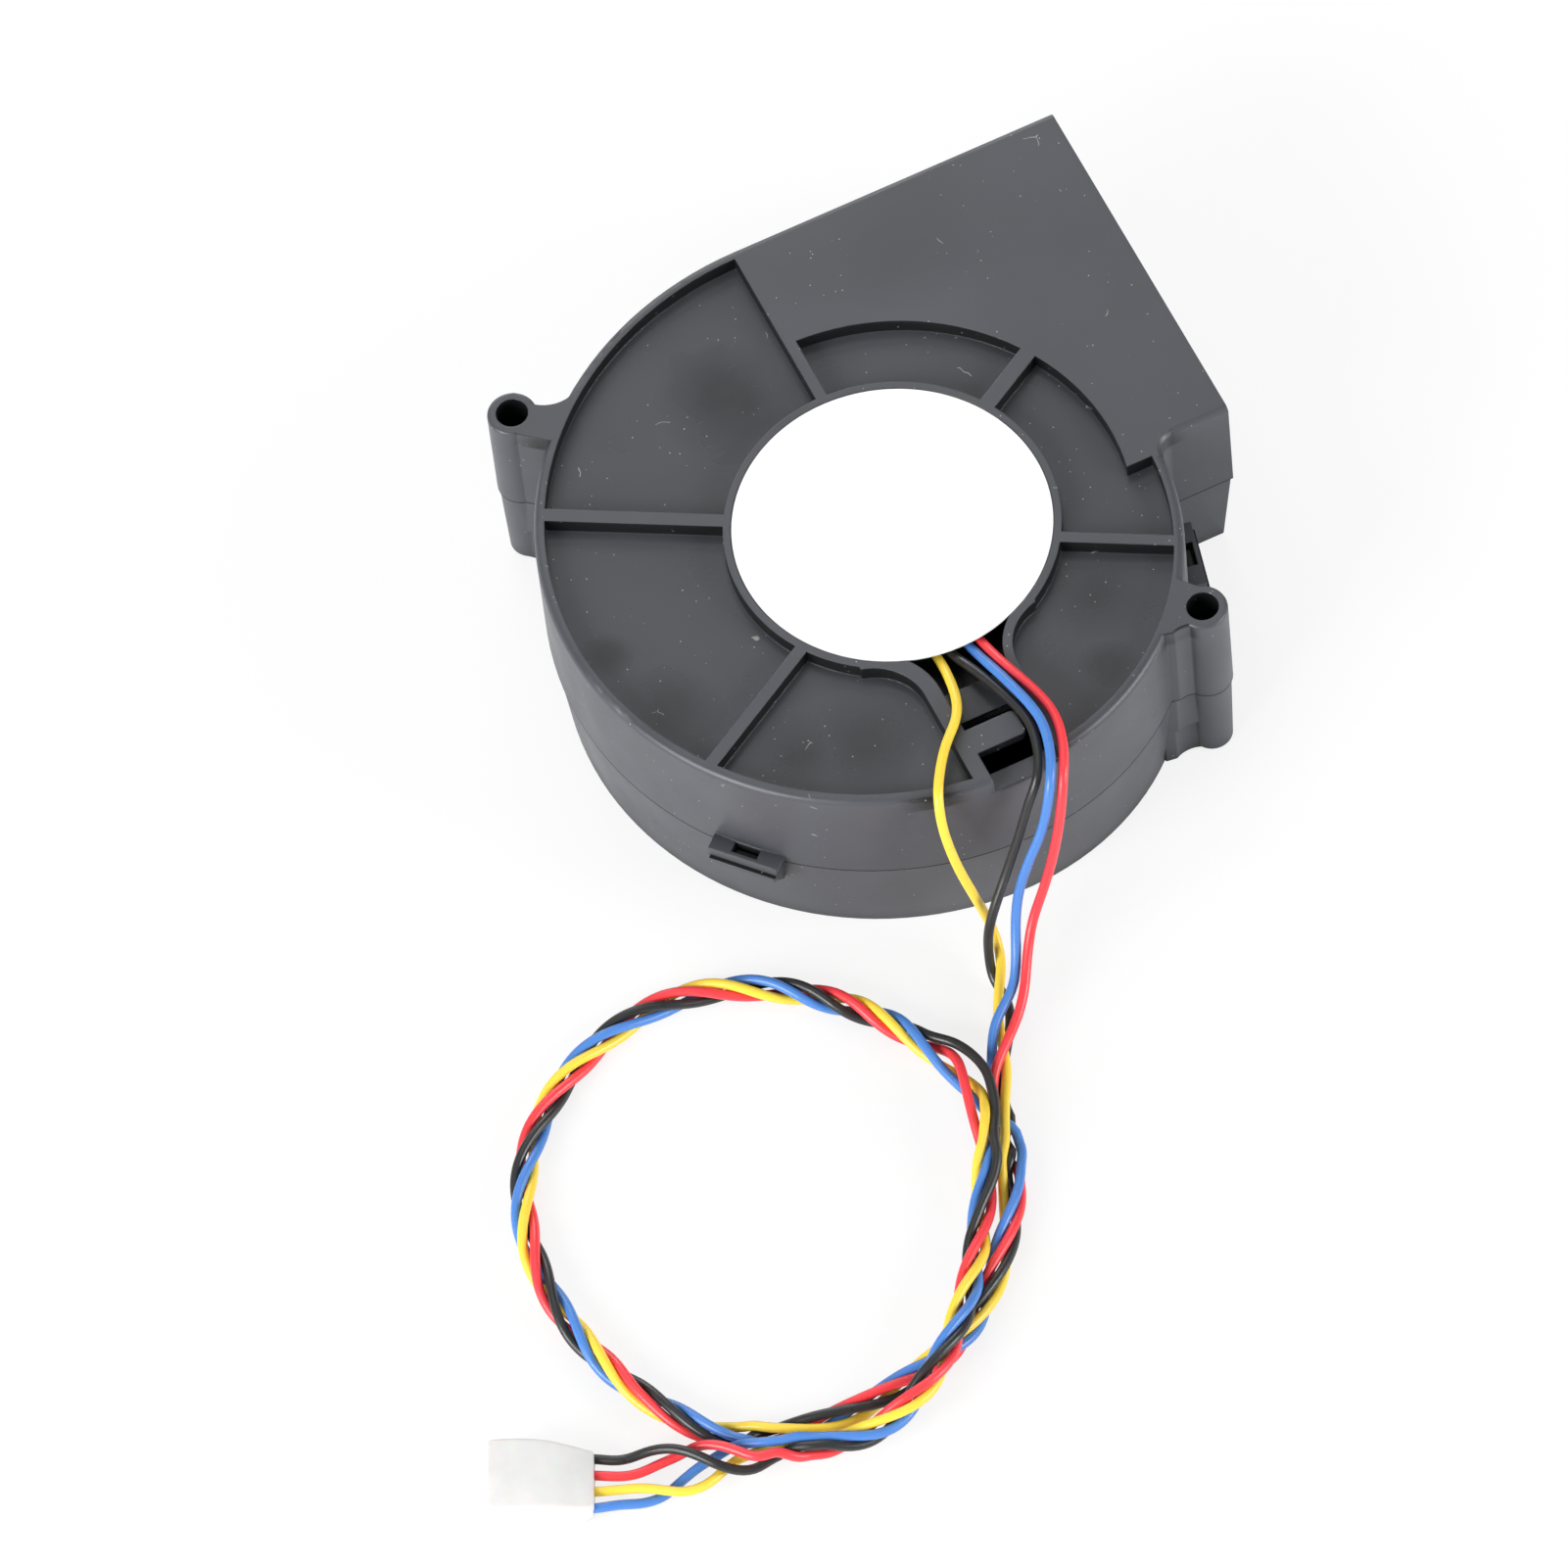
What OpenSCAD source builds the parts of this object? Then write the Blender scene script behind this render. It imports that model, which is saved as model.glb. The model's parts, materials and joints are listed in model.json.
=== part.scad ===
// DC blower fan: scroll casing in two clipped halves, bladed rotor on two ball
// bearings, outer-rotor motor, four leads twisted into one cord with a plug.
//
// Millimetres. The rotor axis is Z. Z = 0 is the inlet face that stands on the
// table, Z = body_height is the motor face. Air leaves along +X.

/* [Casing] */
// overall height over both casing halves
body_height = 33; // [25:0.5:40]
// height of the parting line above the inlet face
seam_z = 15.2; // [10:0.1:22]
// wall thickness of both halves
wall = 1.7; // [1.2:0.1:2.5]
// distance from the rotor axis to the outlet plane
outlet_x = 49.3; // [44:0.1:55]
// distance from the rotor axis to the long straight wall
straight_y = 51.2; // [46:0.1:56]
// Y of the short outlet wall, where the scroll starts
tongue_y = -4.7; // [-10:0.1:0]
// how far the front half tapers in from the seam to the inlet face
taper = 1.2; // [0:0.1:2]
// depth of the recesses in the motor face
pocket_depth = 2.4; // [0.8:0.1:3]
// width of the rim around the motor face
rim_width = 1.5; // [0.8:0.1:2]
// radius of the rounded top edge
edge_round = 1.0; // [0.3:0.1:1.5]
// diameter of the two mounting holes
hole_d = 4.5; // [3:0.1:6]
// radius of the mounting lug
lug_r = 3.5; // [3:0.1:6]

/* [Inlet] */
// diameter of the air inlet
inlet_d = 58.6; // [50:0.1:64]
// radius of the rounded inlet lip
lip_r = 1.6; // [1:0.1:2]

/* [Label] */
// diameter of the blank label disc
label_d = 44.4; // [38:0.1:46]
// thickness of the label
label_t = 0.25; // [0.1:0.05:0.4]

/* [Impeller] */
// number of blades
blade_count = 41; // [24:1:51]
// outer radius of the blade ring
blade_outer_r = 34.2; // [30:0.1:35]
// inner radius of the blade ring
blade_inner_r = 28.6; // [26:0.1:30]
// thickness of one blade
blade_t = 0.8; // [0.6:0.1:1.2]
// angle a blade sweeps forward between its inner and outer edge
blade_sweep = 10.5; // [2:0.5:12]

/* [Motor] */
// diameter of the rotor shaft
shaft_d = 3; // [2:0.5:4]
// outer diameter of the ball bearings
bearing_d = 8; // [6:0.5:10]
// width of the ball bearings
bearing_w = 4; // [3:0.5:5]
// outer radius of the stator
stator_r = 16.8; // [14:0.1:17]
// height of the lamination stack
stack_h = 9; // [5:0.5:11]

/* [Leads] */
// diameter of one insulated lead
lead_d = 1.4; // [1:0.1:1.8]
// diameter over the four twisted leads
cord_d = 3.6; // [3:0.1:5]
// spacing of the contacts in the plug
plug_pitch = 2.54; // [2:0.02:2.54]

/* [Hidden] */
$fn = 96;
eps = 0.01;

// Centres and radii of the three arcs of the scroll, tangent where they meet.
left_c = [0, 2.9];
left_r = straight_y - left_c[1];
low_c = [-1.3, 2.9];
low_r = 47.0;
right_c = [-1.3, tongue_y];
right_r = 39.4;

// Heights inside the casing.
plate_top = body_height - pocket_depth;
ceiling_z = plate_top - wall;
duct_z = body_height - wall;
motor_ceiling_z = 30.8;
floor_z = 1.8;
front_gap = 0.25;
tongue_r = 2.5;
catch_out = 2.3;

// Raised pattern of the motor face.
ring_r = 23.4;
arc_r = 33.4;
step_y = -6.7;
ribs = [[150, -0.7, 1.3], [210, -0.1, 1.7], [330, -2.0, -0.3], [30, -1.2, 1.2]];
channel_l = -5.7;
channel_r = 4.2;
strip_l = -8.0;
strip_r = 5.6;
flare_l = [-16, -27];
flare_r = [13.6, -28.3];
flare_radius = 8;

lug_left = [-38.8, 41.1];
lug_right = [31.9, -31.9];
catches = [[low_c, low_r, 221.5], [right_c, right_r, -13.5], [left_c, left_r, 97]];

// Heights of the motor.
hub_bottom = 6.4;
web_z = 26.5;
web_t = 1.5;
rotor_r = 34.6;
hub_r = 22.4;
yoke_r = 20.9;
yoke_t = 0.9;
yoke_top = 25.5;
magnet_outer = 19.95;
magnet_inner = 17.3;
bushing_r = 3.2;
bushing_z = [6.8, 11.2];
shaft_z = [6.8, 31.2];
tube_r = 5.0;
tube_z = [11.8, 31.0];
lower_bearing_z = 12.3;
upper_bearing_z = 25.5;
stack_z = 15;
coil_z = [12.3, 26.7];
board_z = 27.2;
board_t = 1.2;
ball_pitch_r = 2.75;
ball_r = 0.75;

// Middle line from the place where the leads come together to where they part again.
// The cord is drawn as one round tube from the third point on.
cord_route = [[-14.8, -60.7, 1.9], [-17.9, -66.8, 1.9], [-20.6, -73.1, 1.9], [-22.4, -79.3, 1.9],
              [-25, -85.7, 1.9], [-28.6, -91.5, 1.9], [-33, -96.9, 1.9], [-37.6, -101, 1.9],
              [-42.4, -103.9, 1.9], [-47.8, -105.5, 1.9], [-54.1, -106.6, 1.9], [-60.5, -106.9, 1.9],
              [-67.6, -106.1, 1.9], [-74, -103.6, 1.9], [-79.2, -98.8, 1.9], [-83.3, -92, 1.9],
              [-86, -84.8, 1.9], [-87.7, -77, 1.9], [-88, -69, 1.9], [-86.8, -61, 1.9],
              [-83.8, -53.5, 1.9], [-78.8, -47, 1.9], [-72.2, -41.8, 1.9], [-64.8, -38.5, 1.9],
              [-57, -37, 1.9], [-49.2, -37.9, 1.9], [-41.8, -41, 1.9], [-35.2, -46.2, 1.9],
              [-29.5, -52.7, 1.9], [-25.6, -60, 2.2], [-23.7, -67.4, 3.6], [-24, -74, 4.6],
              [-25.4, -78.7, 4.2], [-28.5, -84.3, 3.0], [-32.3, -90.5, 3.2], [-36.6, -97, 4.6],
              [-41.4, -103, 5.7], [-47.2, -108.2, 5.7], [-52.6, -110.8, 4.6], [-58.6, -111.6, 3.0],
              [-65.2, -110.7, 3.4], [-71.7, -108.3, 4.2]];
cord_first = 2;

// Routes of the four leads from the board to the cord.
yellow_route = [[-3.2, -15.6, 29.2], [-3.3, -19, 29.7], [-3.5, -23.2, 31.6], [-4.3, -28.8, 33.2],
                [-5.9, -32.8, 34], [-9.4, -36.4, 34.2], [-12.3, -40.5, 34.2], [-13.8, -43.3, 33.8],
                [-14.4, -45.6, 29.4], [-13.6, -47.3, 22], [-11.7, -48.4, 13], [-10.5, -48.6, 7.4],
                [-10.1, -50.4, 4], [-11.1, -53.7, 3], [-13.2, -57.2, 2.8], [-15, -60.5, 1.8],
                [-16.1, -64, 2.1], [-17.6, -68.7, 2.4], [-20.1, -73.3, 2.8]];
black_route = [[-1.4, -15.6, 29.2], [-1.5, -19, 29.7], [-1.3, -22.6, 31.4], [-0.1, -26.5, 32.6],
               [1.7, -32.8, 33.5], [2.6, -37.7, 33.8], [1.7, -42.4, 34], [-0.1, -46.3, 33.8],
               [-2.2, -47.5, 30.5], [-4.3, -48, 24], [-7, -49, 18], [-10.2, -50.8, 13],
               [-11.7, -51.6, 9], [-12.2, -52.2, 4.4], [-12.7, -54.2, 1.1], [-12.4, -57.5, 1],
               [-13.3, -61, 1.2], [-14.8, -63.9, 0.9], [-17.1, -67.9, 0.8], [-19.7, -73.5, 1.4]];
blue_route = [[1.2, -15.6, 29.2], [1.2, -19, 29.7], [1.4, -23.2, 31.6], [2.1, -28.6, 34],
              [3.3, -35, 35.2], [3.8, -39.7, 35.3], [2.6, -44.7, 35], [0.5, -48.6, 33.6],
              [-1.7, -50, 26.5], [-4.4, -50.5, 20.5], [-6.4, -51, 15], [-7.9, -52.5, 10.6],
              [-9.4, -55.3, 6.8], [-11.3, -58.3, 4.7], [-13.9, -60.3, 4], [-16.1, -62.1, 3.7],
              [-18, -65, 3], [-19.7, -68.3, 1.9], [-21.2, -72.9, 0.9]];
red_route = [[3, -15.6, 29.2], [3, -19, 29.7], [3, -22.9, 31.8], [3.6, -28.2, 33.9],
             [5.3, -34.1, 34.4], [6, -39, 34.6], [4.8, -44.1, 34.5], [2.6, -48.4, 33.8],
             [0.6, -50.8, 28], [-1.3, -51.7, 21], [-3.2, -52.3, 15.5], [-5.9, -53.5, 10],
             [-8.3, -56.5, 6.9], [-10.4, -59.8, 5.1], [-12.9, -62.7, 4], [-16.5, -66.1, 4],
             [-19.6, -69, 3.4], [-21.5, -72.7, 2.4]];

// Routes of the four leads from the end of the cord to the plug, without its cavities.
yellow_tail = [[-71.4, -107.6, 3.4], [-73.7, -107.4, 3.2], [-75.4, -106.7, 2.9], [-76.8, -106.6, 2.5],
               [-78.2, -107, 2.3], [-81, -108.2, 2.7], [-83.4, -108.5, 2.9], [-85.4, -107.9, 2.9],
               [-87.5, -106.3, 2.8], [-89.7, -104.8, 2.8], [-92.6, -103.7, 2.9]];
black_tail = [[-72, -109, 3.4], [-74.1, -109.5, 3], [-76, -109.3, 3.2], [-77.6, -108.7, 3.8],
              [-79.5, -107.3, 4.6], [-81, -105.3, 5], [-82.5, -103.5, 5], [-84.3, -101.7, 4.4],
              [-87, -100.4, 3.6], [-89.5, -100.1, 3], [-91.8, -99.2, 2.9]];
blue_tail = [[-71.4, -107.6, 5], [-73.5, -106.6, 4.6], [-75.4, -105.3, 4], [-76.7, -104.8, 3.2],
             [-78.6, -105.1, 2.7], [-81.1, -105, 2.3], [-83.7, -105.5, 1.6], [-85.2, -105.7, 1.3],
             [-86.7, -106.4, 1], [-88.2, -106.5, 1.1], [-90.6, -106.4, 1.6], [-93.5, -105.5, 2.5]];
red_tail = [[-72, -109, 5], [-73.9, -109.5, 5.2], [-75.7, -107.6, 5.2], [-77.3, -105.5, 5],
            [-79.1, -103.8, 4.6], [-81.1, -102.7, 3.7], [-82.9, -102.7, 2.8], [-84.8, -102.4, 2.5],
            [-87, -102.4, 2.5], [-89.4, -102.6, 2.7], [-92.2, -101.7, 2.9]];

plug_c = [-101.8, -98.2];
plug_angle = 155;
plug_size = [14.5, 10.7, 5.8];
plug_z = plug_size[2] / 2;
plug_u = [cos(plug_angle), sin(plug_angle), 0];
plug_v = [sin(plug_angle), -cos(plug_angle), 0];
contact_depth = 2.5;

// Outline of the plug seen from above and from the side, X towards its mating end.
plug_plan = [[-7.25, -4.2], [-4.8, -4.9], [-2.5, -5.3], [0, -5.8], [3, -6.1], [6.1, -6.1], [6.9, -5.7],
             [7.25, -5], [7.25, 4], [6.7, 4.6], [-5.4, 4.6], [-7.25, 4.1]];
plug_side = [[-7.25, 1.6], [-5.4, 0], [6.9, 0], [7.25, 0.4], [7.25, 5.4], [6.9, 5.8], [0.5, 5.8],
             [-1.5, 5.7], [-3.5, 5.3], [-5.5, 4.7], [-7.25, 4.3]];

// Point where lead k enters the plug, measured back from its rear face by d.
function plug_entry(k, d) =
    [plug_c[0], plug_c[1], plug_z] - plug_u * (plug_size[0] / 2 + d) - plug_v * ((k - 1.5) * plug_pitch);

function into_plug(route, k) = concat(route, [plug_entry(k, 0.6), plug_entry(k, -contact_depth)]);

function unit(v) = v / norm(v);
function heading(p, i) = unit(p[min(i + 1, len(p) - 1)] - p[max(i - 1, 0)]);
function ring_at(p, i, r, sides) =
    let (t = heading(p, i), s = unit(cross(t, [0, 0, 1])), u = cross(s, t))
    [for (k = [0 : sides - 1]) p[i] + r * (s * cos(360 * k / sides) + u * sin(360 * k / sides))];

// Round tube along the points of a route, closed at both ends.
module tube(p, r, sides = 8) {
    n = len(p);
    points = [for (i = [0 : n - 1]) each ring_at(p, i, r, sides)];
    skin = [for (i = [0 : n - 2]) for (k = [0 : sides - 1])
            [i * sides + k, (i + 1) * sides + k, (i + 1) * sides + (k + 1) % sides, i * sides + (k + 1) % sides]];
    first = [[for (k = [0 : sides - 1]) k]];
    last = [[for (k = [sides - 1 : -1 : 0]) (n - 1) * sides + k]];
    polyhedron(points, concat(skin, first, last), convexity = 6);
}

// Upright profile from a0 to b0 at height z0 and from a1 to b1 at z1. With f its sides are
// upright and its top corners round: the outer one at b, and with round_a also the one at a.
module side_profile(a0, b0, a1, b1, z0, z1, f, round_a) {
    if (f == 0) {
        polygon([[a0, z0], [b0, z0], [b1, z1], [a1, z1]]);
    } else {
        start = round_a ? a1 + f : a1;
        translate([a1, z0]) square([b1 - a1, z1 - z0 - f]);
        translate([start, z0]) square([b1 - f - start, z1 - z0]);
        translate([b1 - f, z1 - f]) circle(f, $fn = 48);
        if (round_a) {
            translate([a1 + f, z1 - f]) circle(f, $fn = 48);
        }
    }
}

// Quarter turn of a solid whose outer radius goes from r0 at z0 to r1 at z1.
module quarter(c, r0, r1, z0, z1, start, f) {
    translate([c[0], c[1], 0])
    rotate([0, 0, start])
    rotate_extrude(angle = 90)
    side_profile(0, r0, 0, r1, z0, z1, f, false);
}

// Scroll with its outlet duct between two heights; in0 and in1 move its walls inwards
// at the lower and the upper height, f rounds its top edge.
module scroll(z0, z1, in0, in1, x_end, f = 0) {
    quarter(left_c, left_r - in0, left_r - in1, z0, z1, 90, f);
    quarter(low_c, low_r - in0, low_r - in1, z0, z1, 180, f);
    quarter(right_c, right_r - in0, right_r - in1, z0, z1, 270, f);
    translate([0, left_c[1], 0])
    rotate([90, 0, 0])
    linear_extrude(height = left_c[1] - tongue_y)
    side_profile(right_c[0], right_c[0] + right_r - in0, right_c[0], right_c[0] + right_r - in1, z0, z1, f, false);
    rotate([90, 0, 90])
    linear_extrude(height = x_end)
    side_profile(tongue_y + in0, straight_y - in0, tongue_y + in1, straight_y - in1, z0, z1, f, true);
}

// Fillet in the corner between the scroll and the short outlet wall.
module tongue_fillet(z0, z1, in0, in1) {
    reach = sqrt(pow(right_r + tongue_r, 2) - pow(tongue_r, 2));
    c = [right_c[0] + reach, tongue_y - tongue_r];
    difference() {
        block([c[0] - 4.5, c[1], z0], [c[0], tongue_y + 1.2, z1]);
        translate([c[0], c[1], z0 - eps])
        cylinder(r1 = tongue_r + in0, r2 = tongue_r + in1, h = z1 - z0 + 2 * eps);
    }
}

// Box between two corners.
module block(a, b) {
    translate(a) cube(b - a);
}

module tower(p, r, z0, z1) {
    translate([p[0], p[1], z0]) cylinder(r = r, h = z1 - z0);
}

// Web between a lug and the scroll, with a concave fillet on its open side. It meets the
// boss a little inside the boss's own outline.
module lug_webs(z0, z1, trim = 0) {
    difference() {
        translate([0, 0, z0])
        linear_extrude(height = z1 - z0)
        polygon([[-41.0 + trim, 38.8], [-39.1, 44.2 - trim], [-33, 44.2], [-28.8, 40.4], [-34, 32.8]]);
        tower([-31.9, 45.1 - trim], 5.3, z0 - 1, z1 + 1);
    }
    difference() {
        translate([0, 0, z0])
        linear_extrude(height = z1 - z0)
        polygon([[33.4, -29.1 - trim], [29.9, -25.2], [22, -28], [24.2, -33.2], [31, -35.0 + trim]]);
        tower([27.8, -38.0 + trim], 4.3, z0 - 1, z1 + 1);
        tower([34.4, -24.2 - trim], 3.6, z0 - 1, z1 + 1);
    }
}

// Boss of a lug with one rounded edge, at its top or at its bottom.
module lug_boss(p, r, z0, z1, f, at_top) {
    translate([p[0], p[1], at_top ? z0 : z1])
    mirror([0, 0, at_top ? 0 : 1])
    rotate_extrude()
    side_profile(0, r, 0, r, 0, z1 - z0, f, false);
}

module lug_holes(z0, z1) {
    tower(lug_left, hole_d / 2, z0, z1);
    tower(lug_right, hole_d / 2, z0, z1);
}

// Places its children at one catch: X points out of the wall, Y along it.
module at_catch(c) {
    translate([c[0][0], c[0][1], 0])
    rotate([0, 0, c[2]])
    translate([c[1], 0, 0])
    children();
}

// Everything of the motor face that stays at full height inside the rim.
module face_pattern(z0, z1) {
    tower([0, 0], ring_r, z0, z1);
    difference() {
        block([-0.5, step_y, z0], [outlet_x + 1, straight_y + 1, z1]);
        tower([0, 0], arc_r, z0 - 1, z1 + 1);
    }
    block([-0.5, 18, z0], [1.2, 34.5, z1]);
    for (r = ribs) {
        rotate([0, 0, r[0]])
        block([18, r[1], z0], [r[0] == 30 ? 35 : 50, r[2], z1]);
    }
    block([strip_l, -46, z0], [channel_l, -18, z1]);
    block([channel_r, -46, z0], [strip_r, -18, z1]);
    difference() {
        block([-14, flare_l[1], z0], [strip_l + eps, -16, z1]);
        tower(flare_l, flare_radius, z0 - 1, z1 + 1);
    }
    difference() {
        block([strip_r - eps, flare_r[1], z0], [12, -16, z1]);
        tower(flare_r, flare_radius, z0 - 1, z1 + 1);
    }
}

// Recess in which the leads run from under the label to the rim.
module wire_channel(z0, z1) {
    block([channel_l, -47, z0], [channel_r, -19, z1]);
    difference() {
        block([-9.6, flare_l[1], z0], [channel_l + eps, -19, z1]);
        tower(flare_l, flare_radius + 2.3, z0 - 1, z1 + 1);
    }
    difference() {
        block([channel_r - eps, flare_r[1], z0], [7.6, -19, z1]);
        tower(flare_r, flare_radius + 1.4, z0 - 1, z1 + 1);
    }
}

// Tab that bridges part of the opening in the channel and holds the leads.
module wire_tab() {
    block([channel_l - 0.5, -38.8, body_height - 1.5], [1.0, -34.7, body_height]);
    block([0, -38.0, body_height - 1.5], [1.8, -35.5, body_height]);
    tower([1.0, -38.0], 0.8, body_height - 1.5, body_height);
    tower([1.0, -35.5], 0.8, body_height - 1.5, body_height);
}

module rear_body() {
    scroll(seam_z, body_height, 0, 0, outlet_x, edge_round);
    tongue_fillet(seam_z, body_height - 0.5, 0, 0);
    tongue_fillet(body_height - 0.5, body_height, 0, 0.5);
    lug_webs(seam_z, body_height - 0.3);
    lug_webs(body_height - 0.3, body_height, 0.3);
    lug_boss(lug_left, lug_r, seam_z, body_height, 0.5, true);
    lug_boss(lug_right, lug_r, seam_z, body_height, 0.5, true);
    for (c = catches) {
        at_catch(c) block([-0.9, -5.1, seam_z], [catch_out, 5.1, seam_z + 1.8]);
    }
}

module rear_shell() color([0.2, 0.2, 0.21]) {
    difference() {
        rear_body();
        scroll(seam_z - 1, ceiling_z, wall, wall, outlet_x + 5);
        intersection() {
            scroll(ceiling_z - eps, duct_z, wall, wall, outlet_x + 5);
            difference() {
                block([1.2, step_y + wall, 20], [outlet_x + 5, 60, 32]);
                tower([0, 0], arc_r + wall, 19, 33);
            }
        }
        tower([0, 0], 21, ceiling_z - 1, motor_ceiling_z);
        difference() {
            scroll(plate_top, body_height + 1, rim_width, rim_width, outlet_x - rim_width);
            face_pattern(plate_top - 1, body_height + 2);
        }
        wire_channel(plate_top, body_height + 1);
        intersection() {
            wire_channel(ceiling_z - 2, plate_top + 1);
            block([-12, -27, ceiling_z - 2], [12, -14, plate_top + 1]);
        }
        block([channel_l, -21, 30], [channel_r, -14, body_height + 1]);
        block([channel_l, -41.2, ceiling_z - 1], [channel_r, -32.1, plate_top + 1]);
        tower([0, 0], label_d / 2 + 0.1, body_height - 0.3, body_height + 1);
        tower([0, 0], 4.1, ceiling_z, body_height + 1);
        tower([0, 0], tube_r, ceiling_z, tube_z[1]);
        lug_holes(seam_z - 1, body_height + 1);
        for (c = catches) {
            at_catch(c) block([0.1, -1.9, seam_z - 1], [catch_out - 0.6, 1.9, seam_z + 3]);
        }
    }
    wire_tab();
    difference() {
        tower([0, 0], 7.3, 26.6, motor_ceiling_z + eps);
        tower([0, 0], tube_r, 26, tube_z[1]);
    }
    difference() {
        scroll(seam_z - 1.3, seam_z + 1, 1.0, 1.0, outlet_x - 1);
        scroll(seam_z - 2, seam_z + 2, wall, wall, outlet_x + 1);
    }
}

module front_body() {
    scroll(0, seam_z, front_gap + taper, front_gap, outlet_x - front_gap);
    tongue_fillet(0, seam_z, front_gap + taper, front_gap);
    lug_webs(0, seam_z - 8, 0.8);
    lug_webs(seam_z - 8.1, seam_z, 0.4);
    for (p = [lug_left, lug_right]) {
        lug_boss(p, lug_r - 0.6, 0, seam_z, 0.5, false);
        translate([p[0], p[1], 0.6]) cylinder(r1 = lug_r - 0.6, r2 = lug_r - front_gap, h = seam_z - 0.6);
    }
    for (c = catches) {
        at_catch(c) {
            block([-0.8, -4.9, seam_z - 1.1], [catch_out + 0.4, 4.9, seam_z - 0.05]);
            block([0.5, -1.6, seam_z - 1], [1.3, 1.6, seam_z + 0.6]);
            catch_gusset(-2.4);
            catch_gusset(4.4);
        }
    }
}

// Small rib under the ledge of a catch.
module catch_gusset(y) {
    translate([0, y + 0.4, 0])
    rotate([90, 0, 0])
    linear_extrude(height = 0.8)
    polygon([[-0.9, seam_z - 4.4], [-0.1, seam_z - 4.4], [catch_out, seam_z - 1.1], [-0.9, seam_z - 1.1]]);
}

module front_shell() color([0.18, 0.18, 0.19]) {
    difference() {
        front_body();
        scroll(floor_z, seam_z + 1, wall + taper, wall, outlet_x + 5);
        difference() {
            scroll(seam_z - 1.4, seam_z + 1, 0.95, 0.95, outlet_x + 2);
            scroll(seam_z - 3, seam_z + 3, wall + 1, wall + 1, outlet_x - 5);
        }
        tower([0, 0], inlet_d / 2 + lip_r, -1, 5);
        translate([outlet_x - front_gap, 60, 0])
        rotate([90, 0, 0])
        linear_extrude(height = 80)
        polygon([[0, seam_z], [1, seam_z], [1, -1], [-taper, -1], [-taper, 0]]);
        lug_holes(-1, seam_z + 1);
    }
    rotate_extrude()
    translate([inlet_d / 2, lip_r]) {
        square(lip_r);
        intersection() {
            translate([lip_r, 0]) circle(lip_r, $fn = 48);
            translate([0, -lip_r]) square(lip_r + eps);
        }
    }
}

module label_disc() color("white") {
    tower([0, 0], label_d / 2, body_height - 0.3, body_height - 0.3 + label_t);
}

// Points of the middle line of a blade, t from 0 at its inner to 1 at its outer edge.
function blade_mid(t) =
    let (r = blade_inner_r + (blade_outer_r - blade_inner_r) * t, a = -blade_sweep * (0.25 * t + 0.75 * t * t))
    [r * cos(a), r * sin(a)];
function blade_side(t, s) =
    let (d = blade_mid(t + 0.01) - blade_mid(t - 0.01), n = [-d[1], d[0]] / norm(d))
    blade_mid(t) + n * s;

module blade() {
    steps = [0 : 0.2 : 1.001];
    polygon(concat([for (t = steps) blade_side(t, blade_t / 2)],
                   [for (t = steps) blade_side(1 - t, -blade_t / 2)]));
}

module impeller() color([0.15, 0.15, 0.16]) {
    rotate_extrude() {
        translate([bushing_r, hub_bottom]) square([hub_r - bushing_r - 1.6, 1.6]);
        translate([hub_r - 1.6, hub_bottom + 1.6]) intersection() {
            circle(1.6, $fn = 48);
            translate([0, -1.6]) square(1.6);
        }
        translate([yoke_r, hub_bottom + 1.6]) square([hub_r - yoke_r, web_z + web_t - hub_bottom - 1.6]);
        translate([yoke_r, web_z]) square([rotor_r - yoke_r, web_t]);
        translate([blade_outer_r - 1.2, 3.6]) square([rotor_r - blade_outer_r + 1.2, 1.6]);
    }
    translate([0, 0, 4.4])
    linear_extrude(height = web_z + 0.4 - 4.4)
    for (k = [0 : blade_count - 1]) {
        rotate([0, 0, k * 360 / blade_count]) blade();
    }
}

module rotor_bushing() color([0.8, 0.65, 0.3]) {
    difference() {
        union() {
            tower([0, 0], bushing_r, bushing_z[0], bushing_z[1]);
            tower([0, 0], bushing_r + 0.6, 8.9, 10.2);
        }
        tower([0, 0], shaft_d / 2, bushing_z[0] - 1, bushing_z[1] + 1);
    }
}

module rotor_yoke() color([0.6, 0.6, 0.62]) {
    rotate_extrude() {
        translate([bushing_r + 0.03, hub_bottom + 1.6]) square([yoke_r - bushing_r - 0.03, yoke_t]);
        translate([yoke_r - yoke_t, hub_bottom + 1.6]) square([yoke_t, yoke_top - hub_bottom - 1.6]);
    }
}

module magnet_ring() color([0.25, 0.22, 0.2]) {
    difference() {
        tower([0, 0], magnet_outer, 13, 25);
        tower([0, 0], magnet_inner, 12, 26);
    }
}

module shaft() color([0.75, 0.76, 0.78]) {
    rotate_extrude() {
        polygon([[0, shaft_z[0]], [1.2, shaft_z[0]], [1.5, shaft_z[0] + 0.3], [1.5, 29.55],
                 [1.2, 29.55], [1.2, 30.05], [1.5, 30.05], [1.5, shaft_z[1] - 0.3],
                 [1.2, shaft_z[1]], [0, shaft_z[1]]]);
    }
}

module retaining_clip() color([0.4, 0.42, 0.45]) {
    difference() {
        tower([0, 0], 3.0, 29.6, 30);
        tower([0, 0], 1.2, 29, 31);
        block([0, -1.0, 29], [4, 1.0, 31]);
        for (a = [100, 260]) {
            rotate([0, 0, a]) block([1.0, -0.5, 29], [2.1, 0.5, 31]);
        }
    }
}

module preload_spring() color([0.7, 0.7, 0.72]) {
    rotate_extrude() {
        for (z = [11.42, 11.75, 12.08]) {
            translate([2.0, z]) circle(0.2, $fn = 24);
        }
    }
}

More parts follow.
